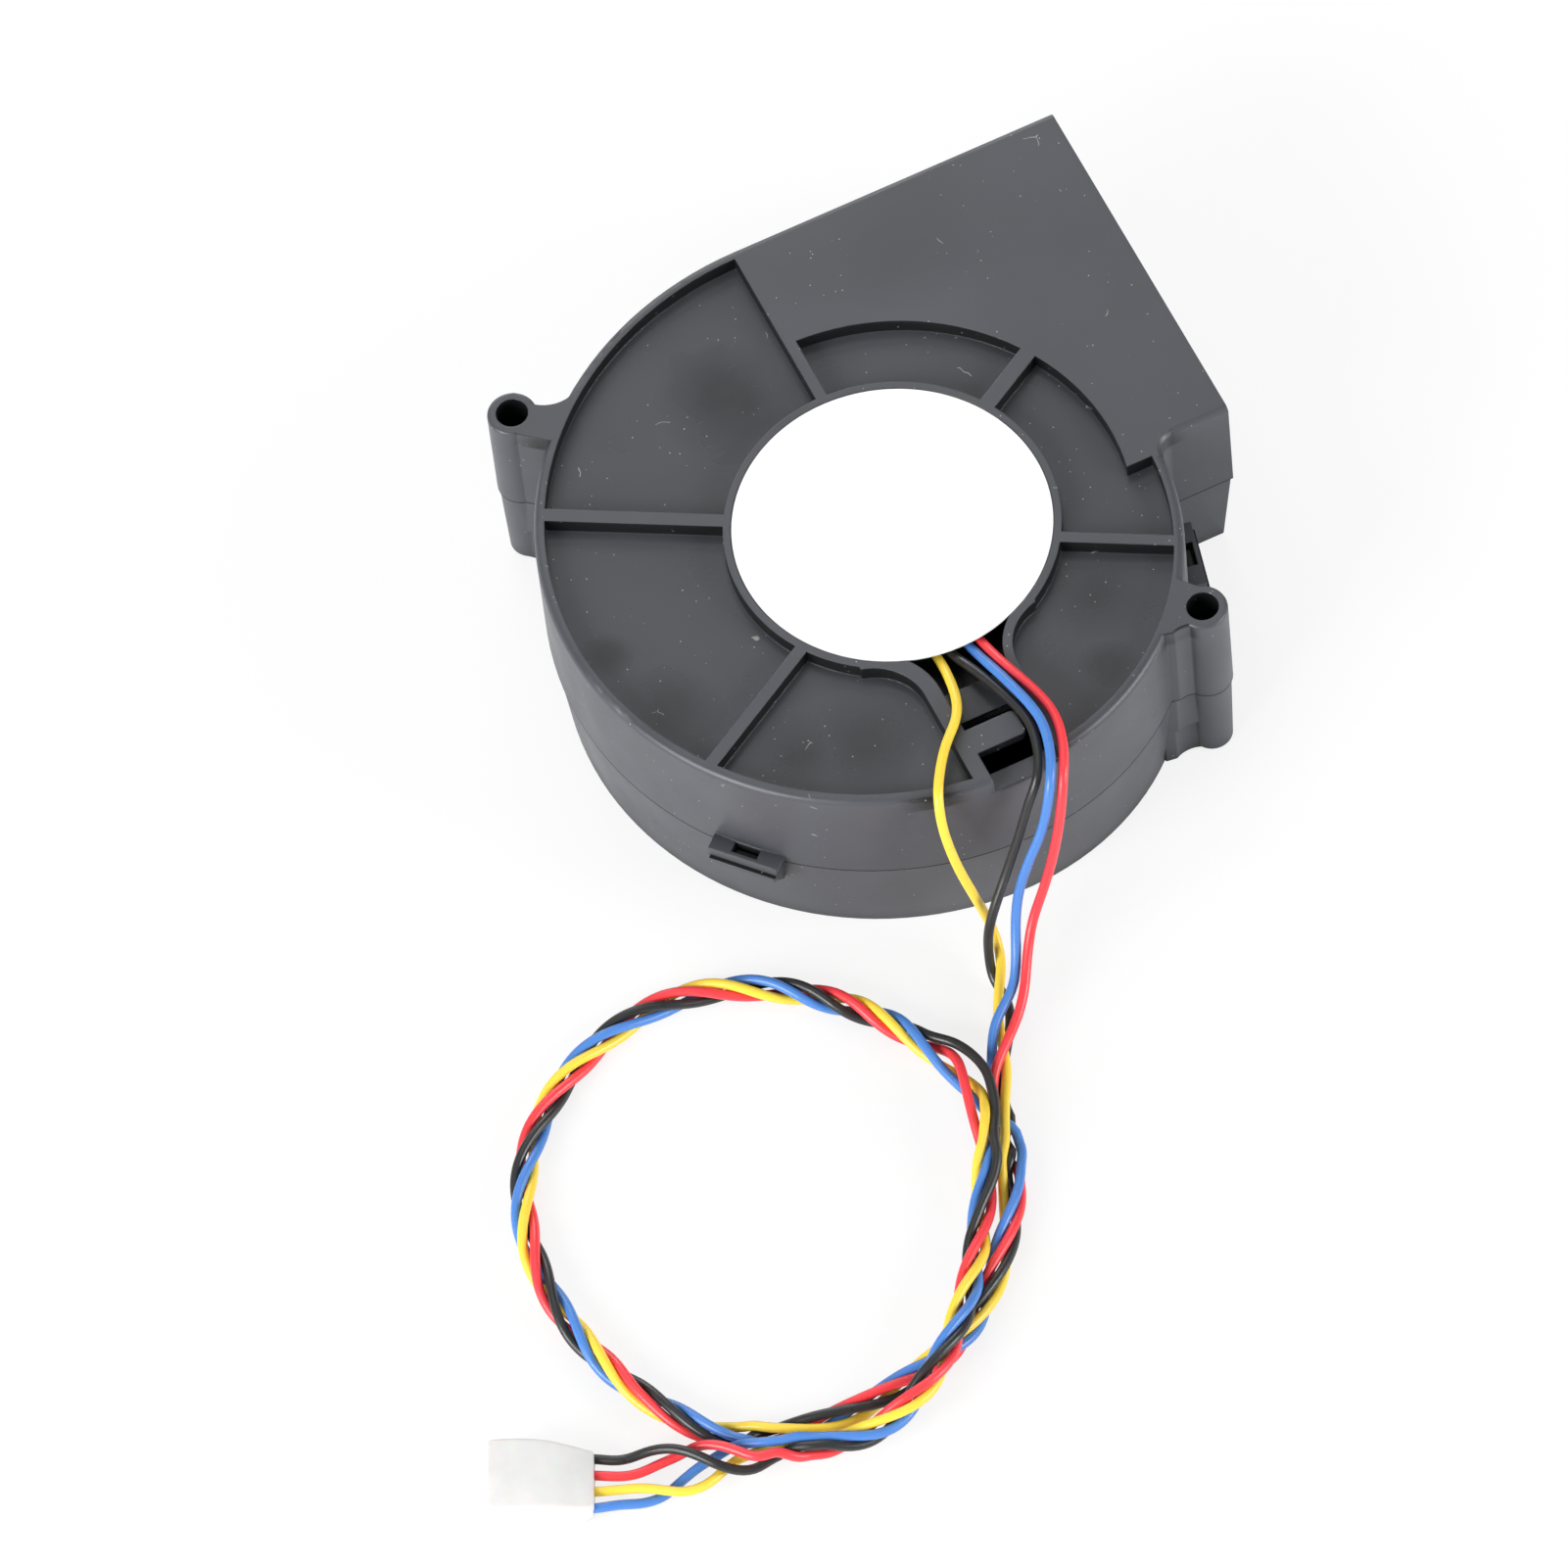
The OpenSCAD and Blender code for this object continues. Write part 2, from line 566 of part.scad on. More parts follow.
module bearing_tube() color([0.85, 0.68, 0.3]) {
    difference() {
        tower([0, 0], tube_r, tube_z[0], tube_z[1]);
        tower([0, 0], bearing_d / 2, tube_z[0] - 1, lower_bearing_z + bearing_w);
        tower([0, 0], 3.4, tube_z[0], tube_z[1]);
        tower([0, 0], bearing_d / 2, upper_bearing_z, tube_z[1] + 1);
    }
}

// Track that the balls run in, as a round groove.
module ball_track(z) {
    translate([0, 0, z + bearing_w / 2])
    rotate_extrude()
    translate([ball_pitch_r, 0])
    circle(ball_r + 0.05, $fn = 48);
}

module outer_race(z) {
    difference() {
        tower([0, 0], bearing_d / 2, z, z + bearing_w);
        tower([0, 0], 3.3, z - 1, z + bearing_w + 1);
        ball_track(z);
    }
}

module inner_race(z) {
    difference() {
        tower([0, 0], 2.15, z, z + bearing_w);
        tower([0, 0], shaft_d / 2, z - 1, z + bearing_w + 1);
        ball_track(z);
    }
}

// Seven balls held by a crown cage.
module ball_set(z) {
    for (k = [0 : 6]) {
        rotate([0, 0, k * 360 / 7])
        translate([ball_pitch_r, 0, z + bearing_w / 2])
        sphere(ball_r, $fn = 20);
    }
    difference() {
        tower([0, 0], 3.05, z + 2.3, z + 3.2);
        tower([0, 0], 2.45, z, z + bearing_w);
    }
}

module upper_outer_race() color([0.7, 0.71, 0.73]) outer_race(upper_bearing_z);
module upper_inner_race() color([0.74, 0.75, 0.77]) inner_race(upper_bearing_z);
module upper_ball_set() color([0.8, 0.8, 0.82]) ball_set(upper_bearing_z);
module lower_outer_race() color([0.7, 0.71, 0.73]) outer_race(lower_bearing_z);
module lower_inner_race() color([0.74, 0.75, 0.77]) inner_race(lower_bearing_z);
module lower_ball_set() color([0.8, 0.8, 0.82]) ball_set(lower_bearing_z);

// Four wide-shoed poles round a hub; side and shoe trims fit it to core or insulator.
module poles(z0, z1, arm_w, inner_r, shoe_in, shoe_out) {
    difference() {
        union() {
            tower([0, 0], 8.4, z0, z1);
            for (a = [0 : 90 : 270]) {
                rotate([0, 0, a]) block([7, -arm_w / 2, z0], [shoe_in + 0.5, arm_w / 2, z1]);
            }
            difference() {
                tower([0, 0], shoe_out, z0, z1);
                tower([0, 0], shoe_in, z0 - 1, z1 + 1);
                for (a = [45 : 90 : 315]) {
                    rotate([0, 0, a]) block([10, -1.4, z0 - 1], [20, 1.4, z1 + 1]);
                }
            }
        }
        tower([0, 0], inner_r, z0 - 1, z1 + 1);
    }
}

module stator_core() color([0.5, 0.5, 0.52]) {
    poles(stack_z, stack_z + stack_h, 5, tube_r, 15, stator_r);
}

module upper_insulator() color([0.9, 0.88, 0.8]) {
    poles(stack_z + stack_h, stack_z + stack_h + 1, 5.6, 5.3, 15, 16.3);
    difference() {
        tower([0, 0], 8.6, stack_z + stack_h, board_z);
        tower([0, 0], 7.5, stack_z, board_z + 1);
    }
    difference() {
        poles(stack_z + stack_h, stack_z + stack_h + 2.3, 5.6, 5.3, 15.2, 16.2);
        tower([0, 0], 14.8, stack_z + stack_h + 1, stack_z + stack_h + 4);
    }
}

module lower_insulator() color([0.9, 0.88, 0.8]) {
    poles(stack_z - 1, stack_z, 5.6, 5.3, 15, 16.3);
    difference() {
        poles(stack_z - 2.3, stack_z, 5.6, 5.3, 15.2, 16.2);
        tower([0, 0], 14.8, stack_z - 4, stack_z - 1);
    }
}

// Coil round one pole, with rounded outer corners.
module coil() {
    rotate([90, 0, 90])
    translate([0, 0, 8.8])
    linear_extrude(height = 5.3)
    difference() {
        union() {
            translate([-4.9, coil_z[0] + 1.6]) square([9.8, coil_z[1] - coil_z[0] - 3.2]);
            translate([-3.3, coil_z[0]]) square([6.6, coil_z[1] - coil_z[0]]);
            for (x = [-3.3, 3.3]) {
                for (z = [coil_z[0] + 1.6, coil_z[1] - 1.6]) {
                    translate([x, z]) circle(1.6, $fn = 32);
                }
            }
        }
        translate([-2.85, stack_z - 1.05]) square([5.7, stack_h + 2.1]);
    }
}

module windings() color([0.75, 0.38, 0.15]) {
    for (a = [0 : 90 : 270]) {
        rotate([0, 0, a]) coil();
    }
}

module circuit_board() color([0.1, 0.4, 0.2]) {
    difference() {
        tower([0, 0], 19.2, board_z, board_z + board_t);
        tower([0, 0], 7.6, board_z - 1, board_z + 3);
        for (a = [40, 160, 280]) {
            rotate([0, 0, a]) block([18.2, -1.5, board_z - 1], [20, 1.5, board_z + 3]);
        }
    }
}

// Parts on the board stand on its upper or lower side.
board_top = board_z + board_t;

module driver_chip() color([0.12, 0.12, 0.12]) {
    rotate([0, 0, 35]) {
        block([10.6, -3.0, board_top + 0.15], [14.6, 3.0, board_top + 1.6]);
        for (y = [-2.25, -0.75, 0.75, 2.25]) {
            block([9.4, y - 0.2, board_top], [15.8, y + 0.2, board_top + 0.6]);
        }
    }
}

module hall_sensor() color([0.12, 0.12, 0.13]) {
    rotate([0, 0, 45])
    block([17.5, -2.0, board_z - 1.7], [19.0, 2.0, board_z]);
}

module board_capacitor() color([0.7, 0.6, 0.4]) {
    rotate([0, 0, 120])
    block([11.5, -1.6, board_top], [13.5, 1.6, board_top + 1.7]);
}

module chip_resistors() color([0.1, 0.1, 0.1]) {
    for (a = [75, 90, 165, 180, 195]) {
        rotate([0, 0, a]) block([12, -0.65, board_top], [14.2, 0.65, board_top + 0.6]);
    }
}

module solder_joints() color([0.75, 0.75, 0.75]) {
    for (p = [yellow_route[0], black_route[0], blue_route[0], red_route[0]]) {
        translate([p[0], p[1] + 0.9, board_top])
        difference() {
            cylinder(r1 = 0.85, r2 = 0.5, h = 1.3, $fn = 32);
            translate([-2, -2.9, -1]) cube([4, 2, 4]);
        }
    }
}

module lead_yellow() color([0.95, 0.8, 0.1]) {
    tube(yellow_route, lead_d / 2);
    tube(into_plug(yellow_tail, 2), lead_d / 2);
}

module lead_black() color([0.1, 0.1, 0.1]) {
    tube(black_route, lead_d / 2);
    tube(into_plug(black_tail, 0), lead_d / 2);
}

module lead_blue() color([0.15, 0.35, 0.85]) {
    tube(blue_route, lead_d / 2);
    tube(into_plug(blue_tail, 3), lead_d / 2);
}

module lead_red() color([0.9, 0.15, 0.2]) {
    tube(red_route, lead_d / 2);
    tube(into_plug(red_tail, 1), lead_d / 2);
}

module twisted_cord() color([0.5, 0.45, 0.4]) {
    tube([for (i = [cord_first : len(cord_route) - 1]) cord_route[i]], cord_d / 2);
}

// Places its children in the plug: X towards the mating end, Y across the row.
module in_plug() {
    translate([plug_c[0], plug_c[1], 0])
    rotate([0, 0, plug_angle])
    children();
}

module plug_housing() color([0.93, 0.93, 0.9]) {
    half = plug_size / 2;
    in_plug()
    difference() {
        intersection() {
            translate([0, 0, -1]) linear_extrude(height = plug_size[2] + 2) polygon(plug_plan);
            rotate([90, 0, 0]) translate([0, 0, -10]) linear_extrude(height = 20) polygon(plug_side);
        }
        for (k = [0 : 3]) {
            y = (k - 1.5) * plug_pitch;
            block([-half[0] - 1, y - 0.9, plug_z - 0.9], [half[0] - 2.0, y + 0.9, plug_z + 0.9]);
            block([half[0] - 3.0, y - 0.6, plug_z - 0.6], [half[0] + 1, y + 0.6, plug_z + 0.6]);
            block([-1.5, y - 0.6, -1], [2.5, y + 0.6, plug_z]);
        }
    }
}

module plug_contacts() color([0.8, 0.75, 0.6]) {
    half = plug_size / 2;
    in_plug()
    for (k = [0 : 3]) {
        y = (k - 1.5) * plug_pitch;
        difference() {
            block([-half[0] + contact_depth, y - 0.85, plug_z - 0.85], [half[0] - 2.2, y + 0.85, plug_z + 0.85]);
            block([-half[0] + contact_depth + 3, y - 0.6, plug_z - 0.6], [half[0], y + 0.6, plug_z + 0.6]);
            block([-half[0] + contact_depth + 2, y - 1, plug_z - 0.2], [-half[0] + contact_depth + 2.6, y + 1, plug_z + 1]);
        }
    }
}

rear_shell();
front_shell();
label_disc();
impeller();
rotor_bushing();
rotor_yoke();
magnet_ring();
shaft();
retaining_clip();
preload_spring();
bearing_tube();
upper_outer_race();
upper_inner_race();
upper_ball_set();
lower_outer_race();
lower_inner_race();
lower_ball_set();
stator_core();
upper_insulator();
lower_insulator();
windings();
circuit_board();
driver_chip();
hall_sensor();
board_capacitor();
chip_resistors();
solder_joints();
lead_yellow();
lead_black();
lead_blue();
lead_red();
twisted_cord();
plug_housing();
plug_contacts();
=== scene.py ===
"""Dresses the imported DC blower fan: finishes, the plug, the four twisted leads, lights and camera.

The CAD bodies are loaded as a fixed frame. This script sets the stage, builds the plug and the leads
strand by strand, and gives every node its finish. Lengths are metres unless a name ends in _mm.
"""

from __future__ import annotations

import json
import logging
import math
from dataclasses import dataclass, field
from enum import Enum
from typing import Protocol, Union

import bmesh
import bpy
from mathutils import Matrix, Vector
from mathutils.kdtree import KDTree

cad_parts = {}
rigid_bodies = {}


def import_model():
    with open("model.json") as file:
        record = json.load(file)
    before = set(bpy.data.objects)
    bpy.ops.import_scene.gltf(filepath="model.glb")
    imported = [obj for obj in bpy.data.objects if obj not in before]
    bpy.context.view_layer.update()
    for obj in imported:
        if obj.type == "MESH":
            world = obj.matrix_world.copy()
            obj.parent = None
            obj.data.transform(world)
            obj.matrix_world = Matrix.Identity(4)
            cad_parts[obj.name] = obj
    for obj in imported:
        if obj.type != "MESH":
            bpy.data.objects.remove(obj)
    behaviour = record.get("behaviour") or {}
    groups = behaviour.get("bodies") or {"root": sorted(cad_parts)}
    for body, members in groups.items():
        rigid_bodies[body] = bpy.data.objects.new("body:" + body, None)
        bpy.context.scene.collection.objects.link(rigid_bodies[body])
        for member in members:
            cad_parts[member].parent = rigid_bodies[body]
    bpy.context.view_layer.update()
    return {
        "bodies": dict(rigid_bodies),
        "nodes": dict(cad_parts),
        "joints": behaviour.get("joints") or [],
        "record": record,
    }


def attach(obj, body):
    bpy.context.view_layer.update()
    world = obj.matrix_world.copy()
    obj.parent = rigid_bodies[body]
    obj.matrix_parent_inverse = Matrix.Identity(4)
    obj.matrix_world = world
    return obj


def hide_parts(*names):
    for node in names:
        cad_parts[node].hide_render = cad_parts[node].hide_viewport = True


MM = 0.001
LOG = logging.getLogger("blower_fan")

Colour = tuple[float, float, float]
Point = tuple[float, float, float]
Socket = bpy.types.NodeSocket
Value = Union[Socket, float]
Paint = Union[Colour, Socket]


class Strand(Enum):
    """The four leads, in the order in which they follow each other round the twist."""

    RED = "red"
    BLACK = "black"
    BLUE = "blue"
    YELLOW = "yellow"


class Grain(Enum):
    """How the fine relief of a surface runs."""

    EVEN = "even"
    TURNED = "turned"


def mm(point: Point) -> Vector:
    """A point given in millimetres, as a vector in metres."""
    return Vector(point) * MM


def shown(made: bmesh.types.BMesh, name: str) -> bpy.types.Object:
    """Turns a bmesh into an object of the scene.

    Args:
        made: the bmesh, which is freed.
        name: name of the object and of its mesh.

    Returns:
        The new object.
    """
    mesh = bpy.data.meshes.new(name)
    made.to_mesh(mesh)
    made.free()
    piece = bpy.data.objects.new(name, mesh)
    bpy.context.collection.objects.link(piece)
    return piece


# Node helpers


@dataclass
class Tree:
    """A material's node tree, with short ways to add and join nodes."""

    name: str
    material: bpy.types.Material = field(init=False)

    def __post_init__(self) -> None:
        """Makes the material with a shader and an output."""
        self.material = bpy.data.materials.new(self.name)
        self.material.use_nodes = True
        self.nodes = self.material.node_tree.nodes
        self.links = self.material.node_tree.links
        self.shader = self.nodes["Principled BSDF"]
        self.place = self.add("ShaderNodeTexCoord").outputs["Object"]

    def add(self, kind: str, **values: object) -> bpy.types.Node:
        """Adds a node.

        Args:
            kind: Blender's type name of the node.
            **values: properties of the node to set.

        Returns:
            The new node.
        """
        node = self.nodes.new(kind)
        for key, value in values.items():
            setattr(node, key, value)
        return node

    def join(self, source: Socket, target: Socket) -> None:
        """Links one socket to another."""
        self.links.new(source, target)

    def stretched(self, scale: Point) -> Socket:
        """Multiplies the object coordinates per axis.

        Args:
            scale: factor along X, Y and Z.

        Returns:
            The stretched coordinates.
        """
        node = self.add("ShaderNodeMapping")
        node.inputs["Scale"].default_value = scale
        self.join(self.place, node.inputs["Vector"])
        return node.outputs["Vector"]

    def noise(self, size: float, detail: float = 4.0, place: Socket | None = None,
              lean: float = 0.0) -> Socket:
        """Adds noise of a given size on the piece.

        Args:
            size: width of one blot, in metres.
            detail: octaves of finer noise.
            place: coordinates to read, the object's own when left out.
            lean: distortion of the pattern.

        Returns:
            The noise value, about 0 to 1.
        """
        node = self.add("ShaderNodeTexNoise")
        node.inputs["Scale"].default_value = 1.0 / size
        node.inputs["Detail"].default_value = detail
        node.inputs["Distortion"].default_value = lean
        self.join(place or self.place, node.inputs["Vector"])
        return node.outputs["Fac"]

    def openness(self, reach: float) -> Socket:
        """Adds a measure of how open the surface lies.

        Args:
            reach: how far away other surfaces count, in metres.

        Returns:
            0 deep in a corner to 1 in the open.
        """
        node = self.add("ShaderNodeAmbientOcclusion", samples=6)
        node.inputs["Distance"].default_value = reach
        return node.outputs["AO"]

    def curled(self, size: float, depth: float) -> Socket:
        """Pushes the object coordinates about with noise.

        Args:
            size: width of one blot of the noise, in metres.
            depth: how far the noise pushes, in metres.

        Returns:
            The pushed coordinates.
        """
        noise = self.add("ShaderNodeTexNoise")
        noise.inputs["Scale"].default_value = 1.0 / size
        self.join(self.place, noise.inputs["Vector"])
        shift = self.add("ShaderNodeVectorMath", operation="SCALE")
        shift.inputs["Scale"].default_value = depth
        moved = self.add("ShaderNodeVectorMath", operation="ADD")
        self.join(noise.outputs["Color"], shift.inputs[0])
        self.join(self.place, moved.inputs[0])
        self.join(shift.outputs["Vector"], moved.inputs[1])
        return moved.outputs["Vector"]

    def cells(self, size: float, place: Socket | None = None) -> bpy.types.Node:
        """Adds a pattern of cells.

        Args:
            size: width of one cell, in metres.
            place: coordinates to read, the object's own when left out.

        Returns:
            The node, whose distance starts at 0 in each cell's middle.
        """
        node = self.add("ShaderNodeTexVoronoi")
        node.inputs["Scale"].default_value = 1.0 / size
        self.join(place or self.place, node.inputs["Vector"])
        return node

    def axis(self, place: Socket, name: str) -> Socket:
        """Takes one value out of a vector.

        Args:
            place: the vector.
            name: X, Y or Z.

        Returns:
            That value.
        """
        split = self.add("ShaderNodeSeparateXYZ")
        self.join(place, split.inputs["Vector"])
        return split.outputs[name]

    def disc(self, centre: Vector, radius: float, waver: Socket) -> Socket:
        """Adds a round patch seen from above, with an uneven soft rim.

        Args:
            centre: its middle, of which only X and Y count.
            radius: its radius in metres.
            waver: noise that moves the rim in and out.

        Returns:
            1 in the patch, falling to 0 at its rim.
        """
        away = self.add("ShaderNodeVectorMath", operation="SUBTRACT")
        away.inputs[1].default_value = centre
        flat = self.add("ShaderNodeVectorMath", operation="MULTIPLY")
        flat.inputs[1].default_value = (1.0, 1.0, 0.0)
        reach = self.add("ShaderNodeVectorMath", operation="LENGTH")
        self.join(self.place, away.inputs[0])
        self.join(away.outputs["Vector"], flat.inputs[0])
        self.join(flat.outputs["Vector"], reach.inputs[0])
        uneven = self.plus(reach.outputs["Value"], self.times(waver, radius * 0.9))
        return self.ramp(uneven, radius * 0.8, radius * 2.1, 1.0, 0.0)

    def ramp(self, value: Socket, low: float, high: float, to_low: float = 0.0,
             to_high: float = 1.0) -> Socket:
        """Maps a value from one range onto another, held at the ends.

        Args:
            value: the value.
            low: start of its range.
            high: end of its range.
            to_low: result at the start.
            to_high: result at the end.

        Returns:
            The mapped value.
        """
        node = self.add("ShaderNodeMapRange")
        node.inputs["From Min"].default_value = low
        node.inputs["From Max"].default_value = high
        node.inputs["To Min"].default_value = to_low
        node.inputs["To Max"].default_value = to_high
        self.join(value, node.inputs["Value"])
        return node.outputs["Result"]

    def work(self, operation: str, a: Socket, b: Value = 0.0) -> Socket:
        """Does sums with a value.

        Args:
            operation: Blender's name of the sum.
            a: the value.
            b: a second value or a number, left out where the sum takes only one.

        Returns:
            The result.
        """
        node = self.add("ShaderNodeMath", operation=operation)
        self.join(a, node.inputs[0])
        if isinstance(b, (int, float)):
            node.inputs[1].default_value = b
        else:
            self.join(b, node.inputs[1])
        return node.outputs[0]

    def times(self, a: Socket, b: Value) -> Socket:
        """One value times another."""
        return self.work("MULTIPLY", a, b)

    def plus(self, a: Socket, b: Value) -> Socket:
        """One value plus another."""
        return self.work("ADD", a, b)

    def minus(self, a: Socket, b: Value) -> Socket:
        """One value less another."""
        return self.work("SUBTRACT", a, b)

    def greater(self, a: Socket, b: Value) -> Socket:
        """The greater of two values."""
        return self.work("MAXIMUM", a, b)

    def mix(self, amount: Socket, a: Paint, b: Paint) -> Socket:
        """Mixes two colours.

        Args:
            amount: 0 for the first colour, 1 for the second.
            a: first colour.
            b: second colour.

        Returns:
            The mixed colour.
        """
        node = self.add("ShaderNodeMix", data_type="RGBA")
        self.join(amount, node.inputs["Factor"])
        for socket, value in ((node.inputs[6], a), (node.inputs[7], b)):
            if isinstance(value, tuple):
                socket.default_value = (*value, 1.0)
            else:
                self.join(value, socket)
        return node.outputs[2]

    def colour(self, value: Socket) -> None:
        """Sets the shader's base colour."""
        self.join(value, self.shader.inputs["Base Color"])

    def roughness(self, value: Socket) -> None:
        """Sets the shader's roughness."""
        self.join(value, self.shader.inputs["Roughness"])

    def relief(self, height: Socket, depth: float, soften: float = 0.0) -> None:
        """Raises the surface by a height pattern.

        Args:
            height: pattern, 0 to 1.
            depth: height of the pattern in metres.
            soften: radius in metres over which sharp edges look rounded, 0 for none.
        """
        bump = self.add("ShaderNodeBump")
        bump.inputs["Strength"].default_value = 1.0
        bump.inputs["Distance"].default_value = depth
        self.join(height, bump.inputs["Height"])
        if soften > 0:
            edge = self.add("ShaderNodeBevel", samples=4)
            edge.inputs["Radius"].default_value = soften
            self.join(edge.outputs["Normal"], bump.inputs["Normal"])
        self.join(bump.outputs["Normal"], self.shader.inputs["Normal"])

    def surface(self, metallic: float = 0.0, ior: float = 1.5, coat: float = 0.0) -> None:
        """Sets the shader's uniform numbers.

        Args:
            metallic: 1 for bare metal.
            ior: index of refraction.
            coat: weight of a clear coat.
        """
        self.shader.inputs["Metallic"].default_value = metallic
        self.shader.inputs["IOR"].default_value = ior
        self.shader.inputs["Coat Weight"].default_value = coat

    def sink(self, weight: float, depth: float) -> None:
        """Lets light sink in by a depth in metres, with a given weight."""
        self.shader.inputs["Subsurface Weight"].default_value = weight
        self.shader.inputs["Subsurface Scale"].default_value = depth


# Finishes


def darker(colour: Colour, share: float) -> Colour:
    """A share of a colour, 0 for black."""
    return tuple(value * share for value in colour)


@dataclass(frozen=True)
class MouldedPlastic:
    """Fine-eroded moulded plastic with smudges, hair scratches and dust, and painted shade in its corners and
    on the sides and floors of its recesses.
    """

    name: str
    base: Colour
    light: Colour
    shine: float = 0.37
    edge: float = 0.00022
    dust: float = 1.0
    dust_colour: Colour = (0.52, 0.50, 0.46)
    recess_mm: tuple[float, float] = (0.0, 0.0)
    seam_mm: float = -10.0
    smudge_and_shade_mm: tuple[Point, ...] = ()

    def recess(self, tree: Tree, upward: Socket) -> Socket:
        """Finds the floors of the recesses.

        Args:
            tree: the material's nodes.
            upward: 1 on faces that look up.

        Returns:
            1 on faces that look up between the two heights of the floors.
        """
        height = tree.axis(tree.place, "Z")
        low, high = (v * MM for v in self.recess_mm)
        soft = 0.1 * MM
        above = tree.ramp(height, low, low + soft)
        below = tree.ramp(height, high - soft, high, 1, 0)
        return tree.times(tree.times(above, below), upward)

    def painted_shade(self, tree: Tree, upward: Socket, floor: Socket) -> Socket:
        """Paints shade into corners away from the recess floors, and all over the sides of a recess.

        Args:
            tree: the material's nodes.
            upward: 1 on faces that look up.
            floor: 1 on the recess floors.

        Returns:
            How dark the painted shade lies, 0 to 1.
        """
        open_air = tree.openness(0.005)
        corner = tree.times(tree.ramp(open_air, 0.3, 0.75, 0.8, 0.0), tree.ramp(floor, 0.0, 1.0, 1.0, 0.0))
        foot = self.recess_mm[0]
        high = tree.ramp(tree.axis(tree.place, "Z"), foot * MM, (foot + 0.4) * MM)
        upright = tree.ramp(upward, 0.0, 1.0, 1.0, 0.0)
        side = tree.times(upright, tree.ramp(open_air, 0.84, 0.95, 0.95, 0.0))
        return tree.greater(corner, tree.times(side, high))

    def seam(self, tree: Tree) -> Socket:
        """Draws the dark line where the two halves of a casing meet.

        Args:
            tree: the material's nodes.

        Returns:
            1 on the line.
        """
        off = tree.work("ABSOLUTE", tree.minus(tree.axis(tree.place, "Z"), self.seam_mm * MM))
        return tree.ramp(off, 0.00014, 0.00026, 1.0, 0.0)

    def smudges_and_shade(self, tree: Tree) -> Socket:
        """Darkens patches of the upper face, each given by the X and Y of its middle and its radius: smudges,
        and painted shade where a recess lay darker.

        Args:
            tree: the material's nodes.

        Returns:
            How dark the patches lie, 0 to 1.
        """
        waver = tree.noise(0.010, 1.0)
        patches = tree.ramp(tree.noise(0.031, 0.0), 0.60, 0.85, 0.0, 0.4)
        for x, y, radius in self.smudge_and_shade_mm:
            patches = tree.greater(patches, tree.disc(mm((x, y, 0)), radius * MM, waver))
        mottle = tree.ramp(tree.noise(0.004, 1.0), 0.3, 0.7, 0.85, 1.0)
        high = tree.ramp(tree.axis(tree.place, "Z"), 0.024, 0.028)
        return tree.times(tree.times(patches, mottle), high)

    def dusty(self, tree: Tree) -> Socket:
        """Strews specks of dust and short fibres.

        Args:
            tree: the material's nodes.

        Returns:
            How thick the dust lies, 0 to 1.
        """
        near = tree.ramp(tree.cells(0.0015).outputs["Distance"], 0.035, 0.08, 1.0, 0.0)
        speck = tree.times(near, tree.ramp(tree.noise(0.009, 1.0), 0.45, 0.49))
        edges = tree.cells(0.011, tree.curled(0.004, 0.003))
        edges.feature = "DISTANCE_TO_EDGE"
        fibre = tree.ramp(edges.outputs["Distance"], 0.002, 0.006, 0.7, 0.0)
        fibre = tree.times(fibre, tree.ramp(tree.noise(0.0045, 1.0), 0.70, 0.72))
        return tree.times(tree.greater(speck, fibre), self.dust * 0.85)

    def build(self) -> bpy.types.Material:
        """Makes the material.

        Returns:
            The material.
        """
        tree = Tree(self.name)
        cloud = tree.ramp(tree.noise(0.022, 3.0), 0.35, 0.7)
        tint = tree.mix(cloud, self.base, self.light)
        smudge_and_shade = self.smudges_and_shade(tree)
        normal = tree.add("ShaderNodeNewGeometry").outputs["True Normal"]
        upward = tree.ramp(tree.axis(normal, "Z"), 0.7, 0.9)
        floor = self.recess(tree, upward)
        # Painted shade: the recess floors are darkened towards 0.6 of the base colour.
        tint = tree.mix(tree.times(floor, 0.4), tint, darker(self.base, 0.6))
        # Smudges, and painted shade where a recess lay darker, pull the colour towards 0.3 of the base.
        marks_and_shade = tree.mix(tree.times(smudge_and_shade, 0.78), tint, darker(self.base, 0.3))
        seam = self.seam(tree)
        # Painted shade in corners and on the recess sides, together with the dark seam line, darkens the
        # colour nearly to black.
        shade_and_seam = tree.greater(self.painted_shade(tree, upward, floor), seam)
        marks_and_shade = tree.mix(shade_and_seam, marks_and_shade, darker(self.base, 0.06))
        tree.colour(tree.mix(self.dusty(tree), marks_and_shade, self.dust_colour))
        scratch = tree.noise(0.0012, 2.0, tree.stretched((0.10, 1.0, 1.0)), lean=0.4)
        rub = tree.ramp(scratch, 0.60, 0.80, 0.0, 0.05)
        gloss = tree.ramp(tree.noise(0.010, 1.0), 0.3, 0.75, self.shine - 0.03, self.shine + 0.08)
        worn = tree.minus(gloss, tree.times(tree.plus(smudge_and_shade, floor), 0.08))
        tree.roughness(tree.plus(tree.plus(worn, rub), tree.times(seam, 0.5)))
        groove = tree.times(seam, 8.0)
        tree.relief(tree.minus(tree.noise(0.00045, 2.0), groove), 0.000008, self.edge)
        tree.surface(ior=1.49)
        return tree.material


